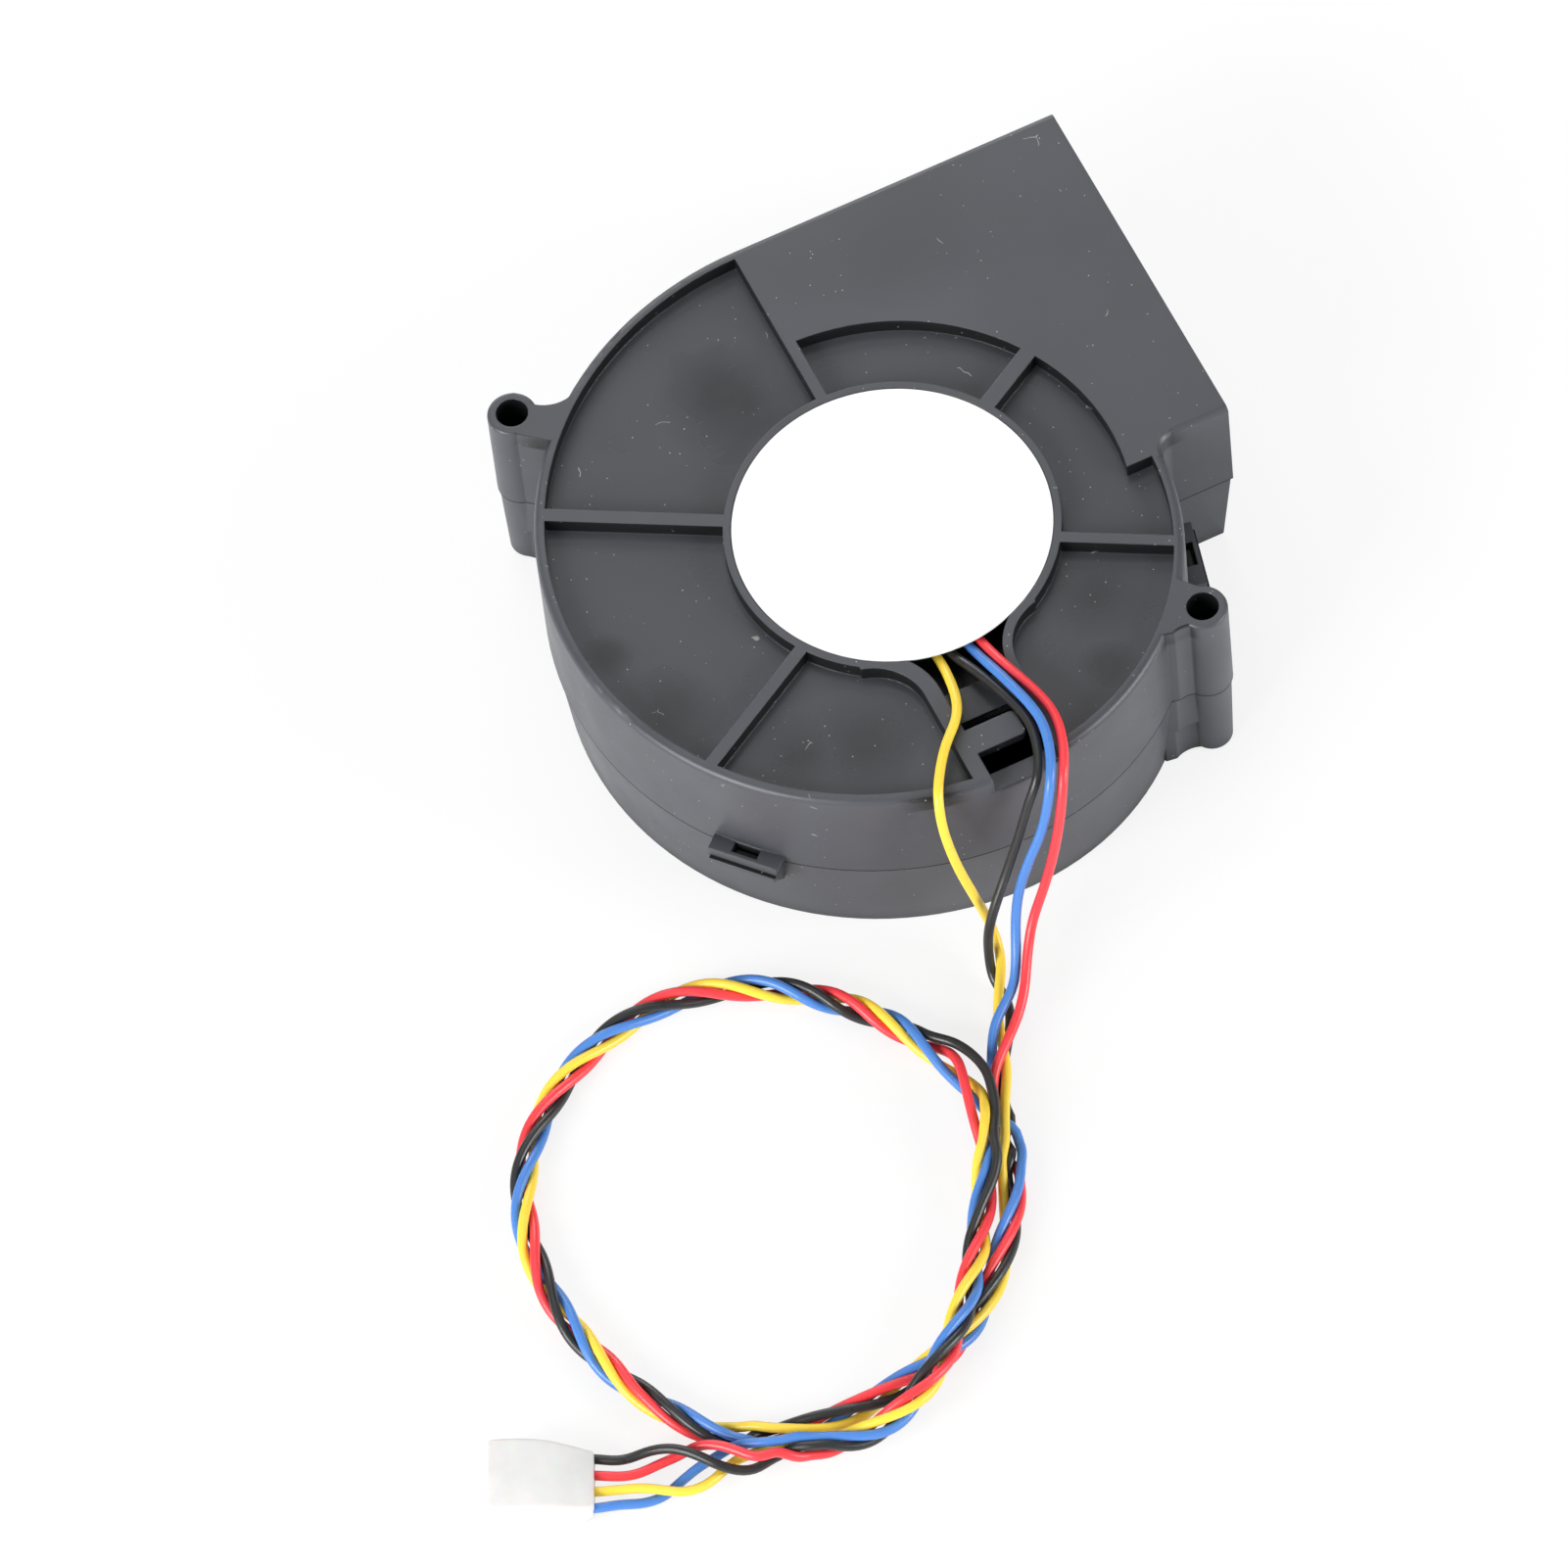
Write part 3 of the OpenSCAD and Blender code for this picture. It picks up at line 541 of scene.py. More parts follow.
@dataclass(frozen=True)
class LeadInsulation:
    """Extruded vinyl insulation of one lead, smooth with faint waves and scuffs."""

    name: str
    base: Colour
    scuffed: Colour

    def build(self) -> bpy.types.Material:
        """Makes the material.

        Returns:
            The material.
        """
        tree = Tree(self.name)
        scuff = tree.ramp(tree.noise(0.0045, 4.0, lean=0.8), 0.60, 0.78)
        tree.colour(tree.mix(tree.times(scuff, 0.25), self.base, self.scuffed))
        tree.roughness(tree.ramp(tree.noise(0.003, 4.0), 0.3, 0.7, 0.26, 0.42))
        tree.relief(tree.noise(0.0016, 2.0), 0.00003)
        tree.surface(ior=1.52)
        tree.sink(0.08, 0.0006)
        return tree.material


@dataclass(frozen=True)
class PlugPlastic:
    """Milky nylon of the plug, which lets a little light in."""

    name: str
    base: Colour
    shade: Colour

    def build(self) -> bpy.types.Material:
        """Makes the material.

        Returns:
            The material.
        """
        tree = Tree(self.name)
        cloud = tree.ramp(tree.noise(0.004, 3.0), 0.35, 0.7)
        tree.colour(tree.mix(cloud, self.base, self.shade))
        tree.roughness(tree.ramp(tree.noise(0.002, 4.0), 0.3, 0.7, 0.36, 0.5))
        tree.relief(tree.noise(0.0005, 3.0), 0.00001, 0.0004)
        tree.surface(ior=1.53)
        tree.sink(0.35, 0.0015)
        return tree.material


@dataclass(frozen=True)
class LabelFilm:
    """Blank white film of the label, with a faint grain and faint clouds."""

    name: str
    base: Colour
    shade: Colour

    def build(self) -> bpy.types.Material:
        """Makes the material.

        Returns:
            The material.
        """
        tree = Tree(self.name)
        cloud = tree.ramp(tree.noise(0.013, 4.0), 0.3, 0.75)
        tree.colour(tree.mix(cloud, self.base, self.shade))
        tree.roughness(tree.ramp(tree.noise(0.004, 4.0), 0.3, 0.7, 0.36, 0.5))
        tree.relief(tree.noise(0.0009, 3.0), 0.000008)
        tree.surface(ior=1.45)
        return tree.material


@dataclass(frozen=True)
class Metal:
    """Bare metal, turned or even, with dull patches."""

    name: str
    base: Colour
    dull: Colour
    shine: float
    grain: Grain = Grain.EVEN

    def build(self) -> bpy.types.Material:
        """Makes the material.

        Returns:
            The material.
        """
        tree = Tree(self.name)
        cloud = tree.ramp(tree.noise(0.005, 4.0), 0.35, 0.7)
        tree.colour(tree.mix(cloud, self.base, self.dull))
        tree.roughness(tree.ramp(tree.noise(0.002, 4.0), 0.3, 0.75, self.shine, self.shine + 0.16))
        scale = {Grain.EVEN: (1.0, 1.0, 1.0), Grain.TURNED: (0.2, 0.2, 12.0)}
        tree.relief(tree.noise(0.0006, 3.0, tree.stretched(scale[self.grain])), 0.000006, 0.0001)
        tree.surface(metallic=1.0)
        return tree.material


@dataclass(frozen=True)
class StackedSheets:
    """Edge of a stack of thin steel sheets, banded along the rotor axis."""

    name: str
    base: Colour
    gap: Colour
    sheet: float = 0.0005

    def build(self) -> bpy.types.Material:
        """Makes the material.

        Returns:
            The material.
        """
        period_at_one = 0.31
        tree = Tree(self.name)
        wave = tree.add("ShaderNodeTexWave", bands_direction="Z")
        wave.inputs["Scale"].default_value = period_at_one / self.sheet
        wave.inputs["Distortion"].default_value = 0.0
        tree.join(tree.place, wave.inputs["Vector"])
        line = tree.ramp(wave.outputs["Fac"], 0.0, 0.35)
        rust = tree.ramp(tree.noise(0.004, 4.0), 0.45, 0.8, 0.6, 1.0)
        tree.colour(tree.mix(tree.times(line, rust), self.gap, self.base))
        tree.roughness(tree.ramp(tree.noise(0.001, 4.0), 0.3, 0.7, 0.32, 0.5))
        tree.relief(line, 0.00004)
        tree.surface(metallic=0.85)
        return tree.material


@dataclass(frozen=True)
class CoilWire:
    """Turns of enamelled wire that lie side by side along each coil's pole."""

    name: str
    base: Colour
    gap: Colour
    wire: float = 0.00032

    def build(self) -> bpy.types.Material:
        """Makes the material.

        Returns:
            The material.
        """
        tree = Tree(self.name)
        along_x = tree.work("ABSOLUTE", tree.axis(tree.place, "X"))
        along_y = tree.work("ABSOLUTE", tree.axis(tree.place, "Y"))
        turn = tree.times(tree.greater(along_x, along_y), 2 * math.pi / self.wire)
        strand = tree.ramp(tree.work("SINE", turn), -1.0, 0.4)
        tree.colour(tree.mix(strand, self.gap, self.base))
        tree.roughness(tree.ramp(tree.noise(0.002, 3.0), 0.3, 0.7, 0.22, 0.36))
        tree.relief(strand, 0.00008)
        tree.surface(metallic=0.6, coat=0.4)
        return tree.material


@dataclass(frozen=True)
class BoardLaminate:
    """Solder-resist face of the round board, with copper tracks showing through."""

    name: str
    base: Colour
    track: Colour

    def build(self) -> bpy.types.Material:
        """Makes the material.

        Returns:
            The material.
        """
        tree = Tree(self.name)
        wave = tree.add("ShaderNodeTexWave", wave_type="RINGS", rings_direction="Z")
        wave.inputs["Scale"].default_value = 130.0
        wave.inputs["Distortion"].default_value = 2.5
        wave.inputs["Detail Scale"].default_value = 0.6
        tree.join(tree.place, wave.inputs["Vector"])
        path = tree.ramp(wave.outputs["Fac"], 0.62, 0.66)
        tree.colour(tree.mix(path, self.base, self.track))
        tree.roughness(tree.ramp(tree.noise(0.002, 3.0), 0.3, 0.7, 0.25, 0.4))
        tree.relief(path, 0.00003)
        tree.surface(ior=1.55, coat=0.2)
        return tree.material


@dataclass(frozen=True)
class DullSolid:
    """Matt moulded, sintered or pressed material with a fine speckle."""

    name: str
    base: Colour
    speckle: Colour
    shine: float = 0.6

    def build(self) -> bpy.types.Material:
        """Makes the material.

        Returns:
            The material.
        """
        tree = Tree(self.name)
        grain = tree.ramp(tree.noise(0.0006, 4.0), 0.4, 0.7)
        tree.colour(tree.mix(grain, self.base, self.speckle))
        tree.roughness(tree.ramp(tree.noise(0.002, 3.0), 0.3, 0.7, self.shine - 0.08, self.shine + 0.1))
        tree.relief(grain, 0.00002, 0.0001)
        tree.surface(ior=1.5)
        return tree.material


class Finish(Protocol):
    """Any of the finishes."""

    def build(self) -> bpy.types.Material:
        """Makes the material."""


def dress(nodes: tuple[str, ...], finish: Finish, frame: dict) -> None:
    """Gives CAD nodes one finish.

    Args:
        nodes: names of the CAD nodes.
        finish: the finish.
    """
    material = finish.build()
    for name in nodes:
        mesh = frame["nodes"][name].data
        mesh.materials.clear()
        mesh.materials.append(material)
        LOG.info("dressed %s with %s", name, material.name)


# The stage


@dataclass(frozen=True)
class Lamp:
    """Soft square lamp that faces the fan: its place and side in metres, its power in watts."""

    name: str
    place: Point
    side: float
    power: float

    def build(self) -> None:
        """Adds the lamp."""
        data = bpy.data.lights.new(self.name, "AREA")
        data.shape = "SQUARE"
        data.size = self.side
        data.energy = self.power
        lamp = bpy.data.objects.new(self.name, data)
        lamp.rotation_mode = "QUATERNION"
        lamp.rotation_quaternion = Vector(self.place).to_track_quat("Z", "Y")
        lamp.location = self.place
        bpy.context.collection.objects.link(lamp)


@dataclass
class Studio:
    """Camera at the photograph's viewing angle, pale floor and soft light.

    floor_lift says how far the floor is lifted towards white for the camera, 1 for wholly white.
    """

    turn_deg: float = -19.3
    height_deg: float = 58.4
    roll_deg: float = -7.2
    station_mm: Point = (-374.0, -1009.74, 1718.84)
    lens_mm: float = 333.69
    sensor_mm: float = 36.0
    world_light: float = 0.23
    floor_half: float = 4.0
    floor_drop: float = 0.0002
    floor_grey: float = 0.93
    floor_lift: float = 0.8
    inlet_radius: float = 0.035
    lamps: tuple[Lamp, ...] = (
        Lamp("left_window", (-1.0, -0.35, 0.5), 0.7, 16.5),
        Lamp("right_window", (0.85, -0.68, 0.45), 0.6, 11.0),
        Lamp("top_softbox", (0.0, 0.4, 1.3), 0.8, 2.2),
        Lamp("back_strip", (0.1, 0.6, 0.35), 0.4, 1.9),
    )

    def axes(self) -> tuple[Vector, Vector, Vector]:
        """Works out which way the camera stands.

        Returns:
            Its right, up and backward directions.
        """
        turn, height, roll = (math.radians(v) for v in (self.turn_deg, self.height_deg, self.roll_deg))
        flat = math.cos(height)
        back = Vector((math.sin(turn) * flat, -math.cos(turn) * flat, math.sin(height)))
        level = Vector((math.cos(turn), math.sin(turn), 0.0))
        upright = back.cross(level)
        right = math.cos(roll) * level + math.sin(roll) * upright
        up = math.cos(roll) * upright - math.sin(roll) * level
        return right, up, back

    def camera(self) -> None:
        """Adds the camera."""
        data = bpy.data.cameras.new("studio_camera")
        data.sensor_width = self.sensor_mm
        data.lens = self.lens_mm
        data.clip_start = 0.1
        data.clip_end = 20.0
        camera = bpy.data.objects.new("studio_camera", data)
        place = Matrix(self.axes()).transposed().to_4x4()
        place.translation = mm(self.station_mm)
        camera.matrix_world = place
        bpy.context.collection.objects.link(camera)
        bpy.context.scene.camera = camera

    def paper(self) -> bpy.types.Material:
        """Makes the floor's material, lifted towards white for the camera except inside the inlet.

        Returns:
            The material.
        """
        tree = Tree("floor_paper")
        grey = self.floor_grey
        tree.shader.inputs["Base Color"].default_value = (grey, grey, grey, 1.0)
        tree.shader.inputs["Roughness"].default_value = 0.9
        tree.shader.inputs["Specular IOR Level"].default_value = 0.0
        white = tree.add("ShaderNodeEmission")
        white.inputs["Color"].default_value = (1.0, 1.0, 1.0, 1.0)
        ray = tree.add("ShaderNodeLightPath")
        seen = tree.greater(ray.outputs["Is Camera Ray"], ray.outputs["Is Transmission Ray"])
        away = tree.add("ShaderNodeVectorMath", operation="LENGTH")
        tree.join(tree.place, away.inputs[0])
        rim = 0.001
        outside = tree.ramp(away.outputs["Value"], self.inlet_radius - rim, self.inlet_radius + rim)
        lift = tree.add("ShaderNodeMixShader")
        tree.join(tree.times(tree.times(seen, outside), self.floor_lift), lift.inputs["Fac"])
        tree.join(tree.shader.outputs["BSDF"], lift.inputs[1])
        tree.join(white.outputs["Emission"], lift.inputs[2])
        tree.join(lift.outputs["Shader"], tree.nodes["Material Output"].inputs["Surface"])
        return tree.material

    def floor(self) -> None:
        """Adds the floor, which keeps the object's shadow."""
        made = bmesh.new()
        bmesh.ops.create_grid(made, x_segments=1, y_segments=1, size=self.floor_half)
        bmesh.ops.translate(made, verts=made.verts, vec=(0.0, 0.0, -self.floor_drop))
        floor = shown(made, "floor")
        floor.data.materials.append(self.paper())

    def build(self) -> None:
        """Sets up the whole stage."""
        scene = bpy.context.scene
        scene.view_settings.view_transform = "Standard"
        world = bpy.data.worlds.new("studio_world")
        world.use_nodes = True
        sky = world.node_tree.nodes["Background"]
        sky.inputs["Color"].default_value = (1.0, 1.0, 1.0, 1.0)
        sky.inputs["Strength"].default_value = self.world_light
        scene.world = world
        self.camera()
        self.floor()
        for lamp in self.lamps:
            lamp.build()
            LOG.info("built %s", lamp.name)


# The plug


@dataclass(frozen=True)
class Section:
    """Cross-section of the plug at one place along it, in millimetres.

    near is its side by the blue lead and far the opposite one, and corner is the radius of its corners.
    """

    along: float
    far: float
    near: float
    bottom: float
    top: float
    corner: float


@dataclass
class Plug:
    """The four-way plug at the end of the leads.

    bore_mm and mouth_mm are half the widths of a lead's cavity and of a contact's mouth, wall_mm is
    the thickness of the mating end, and window_mm says where the opening under each way begins and
    ends along the plug.
    """

    centre_mm: Point = (-101.8, -98.2, 2.9)
    turn_deg: float = 155.0
    length_mm: float = 14.5
    pitch_mm: float = 2.54
    ways: int = 4
    bore_mm: float = 0.9
    mouth_mm: float = 0.6
    wall_mm: float = 2.0
    window_mm: tuple[float, float] = (-1.5, 2.5)
    sections: tuple[Section, ...] = (
        Section(-7.25, -4.1, 4.2, 1.8, 4.2, 0.35), Section(-7.0, -4.4, 4.6, 1.4, 4.4, 0.5),
        Section(-5.4, -4.8, 4.9, 0.1, 4.75, 0.6), Section(-3.5, -5.2, 5.0, 0.0, 5.3, 0.7),
        Section(-1.5, -5.6, 5.0, 0.0, 5.7, 0.7), Section(0.5, -5.9, 5.0, 0.0, 5.8, 0.7),
        Section(3.0, -6.1, 5.0, 0.0, 5.8, 0.7), Section(6.1, -6.1, 5.0, 0.0, 5.8, 0.7),
        Section(6.8, -5.9, 4.8, 0.05, 5.7, 0.6), Section(7.1, -5.6, 4.6, 0.2, 5.5, 0.5),
        Section(7.25, -5.2, 4.3, 0.5, 5.2, 0.4),
    )

    def placed(self, along: float, across: float, height: float) -> Vector:
        """Finds a point of the plug in the shared frame.

        Args:
            along: millimetres towards the mating end from the middle.
            across: millimetres towards the blue lead from the middle.
            height: millimetres above the floor.

        Returns:
            The point in metres.
        """
        turn = math.radians(self.turn_deg)
        x = self.centre_mm[0] + along * math.cos(turn) - across * math.sin(turn)
        y = self.centre_mm[1] + along * math.sin(turn) + across * math.cos(turn)
        return mm((x, y, height))

    def way_mm(self, way: int) -> float:
        """Millimetres across from the plug's middle to the middle of a way."""
        return (way - (self.ways - 1) / 2) * self.pitch_mm

    def entry(self, way: int, before_mm: float) -> Vector:
        """Finds a point on a lead's way into the plug.

        Args:
            way: number of the lead in the row.
            before_mm: distance before the plug's rear face, negative inside it.

        Returns:
            The point in metres.
        """
        return self.placed(-self.length_mm / 2 - before_mm, self.way_mm(way), self.centre_mm[2])

    def ring(self, section: Section) -> list[Vector]:
        """Rounds one cross-section.

        Args:
            section: its sizes.

        Returns:
            Points round it in metres, from its upper corner on the blue lead's side.
        """
        steps = 5
        r = section.corner
        upper, lower = section.top - r, section.bottom + r
        near, far = section.near - r, section.far + r
        middles = ((near, upper), (far, upper), (far, lower), (near, lower))
        points: list[Vector] = []
        for quarter, (across, height) in enumerate(middles):
            for k in range(steps + 1):
                turn = math.radians(90 * quarter + 90 / steps * k)
                shift, rise = r * math.cos(turn), r * math.sin(turn)
                points.append(self.placed(section.along, across + shift, height + rise))
        return points

    def solid(self) -> bpy.types.Object:
        """Makes the plug's outside without its cavities, each cross-section bridged to the next.

        Returns:
            The new piece.
        """
        made = bmesh.new()
        rings: list[list[bmesh.types.BMEdge]] = []
        for section in self.sections:
            points = self.ring(section)
            verts = bmesh.ops.create_circle(made, segments=len(points), radius=1.0)["verts"]
            for vert, point in zip(verts, points):
                vert.co = point
            rings.append([edge for edge in made.edges if edge.verts[0] in verts])
        for a, b in zip(rings, rings[1:]):
            bmesh.ops.bridge_loops(made, edges=a + b)
        for side in made.faces:
            side.smooth = True
        for end in (rings[0], rings[-1]):
            bmesh.ops.edgeloop_fill(made, edges=end)
        bmesh.ops.recalc_face_normals(made, faces=made.faces)
        return shown(made, "plug_shell")

    def cut(self, piece: bpy.types.Object, from_mm: Point, to_mm: Point) -> None:
        """Cuts one block out of the plug at every way.

        Args:
            piece: the plug.
            from_mm: least along, across and height of the block, across counted from the way's middle.
            to_mm: greatest along, across and height.
        """
        made = bmesh.new()
        for way in range(self.ways):
            for vert in bmesh.ops.create_cube(made, size=1.0)["verts"]:
                share = [value + 0.5 for value in vert.co]
                along, across, height = (a + (b - a) * t for a, b, t in zip(from_mm, to_mm, share))
                vert.co = self.placed(along, self.way_mm(way) + across, height)
        bmesh.ops.recalc_face_normals(made, faces=made.faces)
        cutter = shown(made, "plug_cutter")
        hollow = piece.modifiers.new("hollow", "BOOLEAN")
        hollow.object = cutter
        hollow.solver = "EXACT"
        bpy.context.view_layer.update()
        shaped = bpy.data.meshes.new_from_object(piece.evaluated_get(bpy.context.evaluated_depsgraph_get()))
        piece.modifiers.clear()
        piece.data = shaped
        bpy.data.objects.remove(cutter)

    def build(self, frame: dict) -> None:
        """Makes the housing and dresses it and its contacts.
        """
        half = self.length_mm / 2
        middle = self.centre_mm[2]
        bore, mouth = self.bore_mm, self.mouth_mm
        inner = half - self.wall_mm
        past, into, bite = 1.0, 0.2, 0.05
        piece = self.solid()
        self.cut(piece, (-half - past, -bore, middle - bore), (inner, bore, middle + bore))
        self.cut(piece, (inner - into, -mouth, middle - mouth), (half + past, mouth, middle + mouth))
        window_from, window_to = self.window_mm
        self.cut(piece, (window_from, -mouth, -past), (window_to, mouth, middle - bore + bite))
        piece.data.materials.clear()
        piece.data.materials.append(PlugPlastic("plug_nylon", (0.72, 0.72, 0.71), (0.67, 0.67, 0.66)).build())
        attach(piece, "casing")
        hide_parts("plug_housing")
        LOG.info("built %s", piece.name)
        dress(("plug_contacts",), Metal("contact_tin", (0.66, 0.62, 0.50), (0.45, 0.42, 0.35), 0.25), frame)


# The leads


@dataclass(frozen=True)
class Route:
    """A line through given points."""

    points: tuple[Vector, ...]

    def fine(self, step: float = 0.0008) -> list[Vector]:
        """The smooth curve through the points.

        Args:
            step: distance between neighbouring points of the result, in metres.

        Returns:
            Points along the curve, evenly spaced.
        """
        given = list(self.points)
        given = [given[0] * 2 - given[1]] + given + [given[-1] * 2 - given[-2]]
        dense: list[Vector] = []
        for a, b, c, d in zip(given, given[1:], given[2:], given[3:]):
            count = max(4, round((c - b).length / step * 2))
            for k in range(count):
                t = k / count
                dense.append(0.5 * (2 * b + (c - a) * t + (2 * a - 5 * b + 4 * c - d) * t * t
                                    + (3 * b - a - 3 * c + d) * t ** 3))
        dense.append(given[-2])
        return even(dense, step)


def even(line: list[Vector], step: float) -> list[Vector]:
    """Spaces a line's points evenly.

    Args:
        line: points of a dense line.
        step: wanted spacing, in metres.

    Returns:
        Points at that spacing, with both ends kept.
    """
    travelled = [0.0]
    for a, b in zip(line, line[1:]):
        travelled.append(travelled[-1] + (b - a).length)
    count = max(2, round(travelled[-1] / step))
    result: list[Vector] = []
    i = 0
    for k in range(count + 1):
        want = travelled[-1] * k / count
        while i < len(line) - 2 and travelled[i + 1] < want:
            i += 1
        gap = travelled[i + 1] - travelled[i]
        share = 0.0 if gap == 0 else (want - travelled[i]) / gap
        result.append(line[i].lerp(line[i + 1], min(1.0, max(0.0, share))))
    return result


def eased(line: list[Vector], rounds: int) -> list[Vector]:
    """Smooths a line's points without moving its ends.

    Args:
        line: evenly spaced points.
        rounds: how often each point moves to the middle of its neighbours.

    Returns:
        The smoothed points.
    """
    for _ in range(rounds):
        line = [line[0]] + [(a + 2 * b + c) / 4 for a, b, c in zip(line, line[1:], line[2:])] + [line[-1]]
    return line


# The cord's middle line, and each lead's way from the board to the twist and from the twist to the
# plug, in millimetres.
CORD_ROUTE: tuple[Point, ...] = (
    (-14.8, -60.7, 1.9), (-17.9, -66.8, 1.9), (-20.6, -73.1, 1.9), (-22.4, -79.3, 1.9), (-25, -85.7, 1.9),
    (-28.6, -91.5, 1.9), (-33, -96.9, 1.9), (-37.6, -101, 1.9), (-42.4, -103.9, 1.9), (-47.8, -105.5, 1.9),
    (-54.1, -106.6, 1.9), (-60.5, -106.9, 1.9), (-67.6, -106.1, 1.9), (-74, -103.6, 1.9), (-79.2, -98.8, 1.9),
    (-83.3, -92, 1.9), (-86, -84.8, 1.9), (-87.7, -77, 1.9), (-88, -69, 1.9), (-86.8, -61, 1.9),
    (-83.8, -53.5, 1.9), (-78.8, -47, 1.9), (-72.2, -41.8, 1.9), (-64.8, -38.5, 1.9), (-57, -37, 1.9),
    (-49.2, -37.9, 1.9), (-41.8, -41, 1.9), (-35.2, -46.2, 1.9), (-29.5, -52.7, 1.9), (-25.6, -60, 2.2),
    (-23.7, -67.4, 3.6), (-24, -74, 4.6), (-25.4, -78.7, 4.2), (-28.5, -84.3, 3), (-32.3, -90.5, 3.2),
    (-36.6, -97, 4.6), (-41.4, -103, 5.7), (-47.2, -108.2, 5.7), (-52.6, -110.8, 4.6), (-58.6, -111.6, 3),
    (-65.2, -110.7, 3.4), (-71.7, -108.3, 4.2),
)

FAN_SIDE: dict[Strand, tuple[Point, ...]] = {
    Strand.YELLOW: ((-3.2, -15.6, 29.2), (-3.3, -19, 29.7), (-3.5, -23.2, 31.6), (-4.3, -28.8, 33.2),
                    (-5.9, -32.8, 34), (-9.4, -36.4, 34.2), (-12.3, -40.5, 34.2), (-13.8, -43.3, 33.8),
                    (-14.4, -45.6, 29.4), (-13.6, -47.3, 22), (-11.7, -48.4, 13), (-10.5, -48.6, 7.4),
                    (-10.1, -50.4, 4), (-11.1, -53.7, 3), (-13.2, -57.2, 2.8), (-15, -60.5, 1.8),
                    (-16.1, -64, 2.1), (-17.6, -68.7, 2.4), (-20.1, -73.3, 2.8)),
    Strand.BLACK: ((-1.4, -15.6, 29.2), (-1.5, -19, 29.7), (-1.3, -22.6, 31.4), (-0.1, -26.5, 32.6),
                   (1.7, -32.8, 33.5), (2.6, -37.7, 33.8), (1.7, -42.4, 34), (-0.1, -46.3, 33.8),
                   (-2.2, -47.5, 30.5), (-4.3, -48, 24), (-7, -49, 18), (-10.2, -50.8, 13), (-11.7, -51.6, 9),
                   (-12.2, -52.2, 4.4), (-12.7, -54.2, 1.1), (-12.4, -57.5, 1), (-13.3, -61, 1.2),
                   (-15.2, -63.9, 0.9), (-17.9, -67.9, 0.8), (-20.4, -73.3, 0.8)),
    Strand.BLUE: ((1.2, -15.6, 29.2), (1.2, -19, 29.7), (1.4, -23.2, 31.6), (2.1, -28.6, 34),
                  (3.3, -35, 35.2), (3.8, -39.7, 35.3), (2.6, -44.7, 35), (0.5, -48.6, 33.6),
                  (-1.7, -50, 26.5), (-4.4, -50.5, 20.5), (-6.4, -51, 15), (-7.9, -52.5, 10.6),
                  (-9.4, -55.3, 6.8),
                  (-11.3, -58.3, 4.7), (-13.9, -60.3, 4), (-16.1, -62.1, 3.7), (-18, -65, 3),
                  (-19.7, -68.3, 1.9), (-21.2, -72.9, 0.9)),
    Strand.RED: ((3, -15.6, 29.2), (3, -19, 29.7), (3, -22.9, 31.8), (3.6, -28.2, 33.9), (5.3, -34.1, 34.4),
                 (6, -39, 34.6), (4.8, -44.1, 34.5), (2.6, -48.4, 33.8), (0.6, -50.8, 28), (-1.3, -51.7, 21),
                 (-3.2, -52.3, 15.5), (-5.9, -53.5, 10), (-8.3, -56.5, 6.9), (-10.4, -59.8, 5.1),
                 (-12.9, -62.7, 4), (-16.5, -66.1, 4), (-19.6, -69, 3.4), (-21.5, -72.7, 2.4)),
}

PLUG_SIDE: dict[Strand, tuple[Point, ...]] = {
    Strand.YELLOW: ((-71.4, -107.6, 3.4), (-73.7, -107.4, 3.2), (-75.4, -106.7, 2.9), (-76.8, -106.6, 2.5),
                    (-78.2, -107, 2.3), (-81, -108.2, 2.7), (-83.4, -108.5, 2.9), (-85.4, -107.9, 2.9),
                    (-87.5, -106.3, 2.8), (-89.7, -104.8, 2.8), (-92.6, -103.7, 2.9)),
    Strand.BLACK: ((-72, -109, 3.4), (-74.1, -109.5, 3), (-76, -109.3, 3.2), (-77.6, -108.7, 3.8),
                   (-79.5, -107.3, 4.6), (-81, -105.3, 5), (-82.5, -103.5, 5), (-84.3, -101.7, 4.4),
                   (-87, -100.4, 3.6), (-89.5, -100.1, 3), (-91.8, -99.2, 2.9)),
    Strand.BLUE: ((-71.4, -107.6, 5), (-73.5, -106.6, 4.6), (-75.4, -105.3, 4), (-76.7, -104.8, 3.2),
                  (-78.6, -105.1, 2.7), (-81.1, -105, 2.3), (-83.7, -105.5, 1.6), (-85.2, -105.7, 1.3),
                  (-86.7, -106.4, 1), (-88.2, -106.5, 1.1), (-90.6, -106.4, 1.6), (-93.5, -105.5, 2.5)),
    Strand.RED: ((-72, -109, 5), (-73.9, -109.5, 5.2), (-75.7, -107.6, 5.2), (-77.3, -105.5, 5),
                 (-79.1, -103.8, 4.6), (-81.1, -102.7, 3.7), (-82.9, -102.7, 2.8), (-84.8, -102.4, 2.5),
                 (-87, -102.4, 2.5), (-89.4, -102.6, 2.7), (-92.2, -101.7, 2.9)),
}

# Millimetres along the cord at which each lead lies on top of the other three. The first mark
# of the blue and of the black lead only sets how fast they turn before the next one.
ON_TOP: dict[Strand, tuple[float, ...]] = {
    Strand.RED: (8.5, 37.5, 62.5, 103, 126.8, 152.3, 178.7, 202.4, 222, 250, 274.6, 299),
    Strand.YELLOW: (18, 52, 79, 108.3, 133.6, 159.1, 184.1, 206.5, 233, 256, 280, 305),
    Strand.BLUE: (1.3, 31.5, 57, 90.5, 113.4, 139.5, 165.4, 191.3, 211.8, 238, 264, 286, 311),
    Strand.BLACK: (9.5, 44.5, 70.5, 96, 120.5, 146.1, 171.9, 196.4, 216, 243.7, 267.8, 291, 316),
}


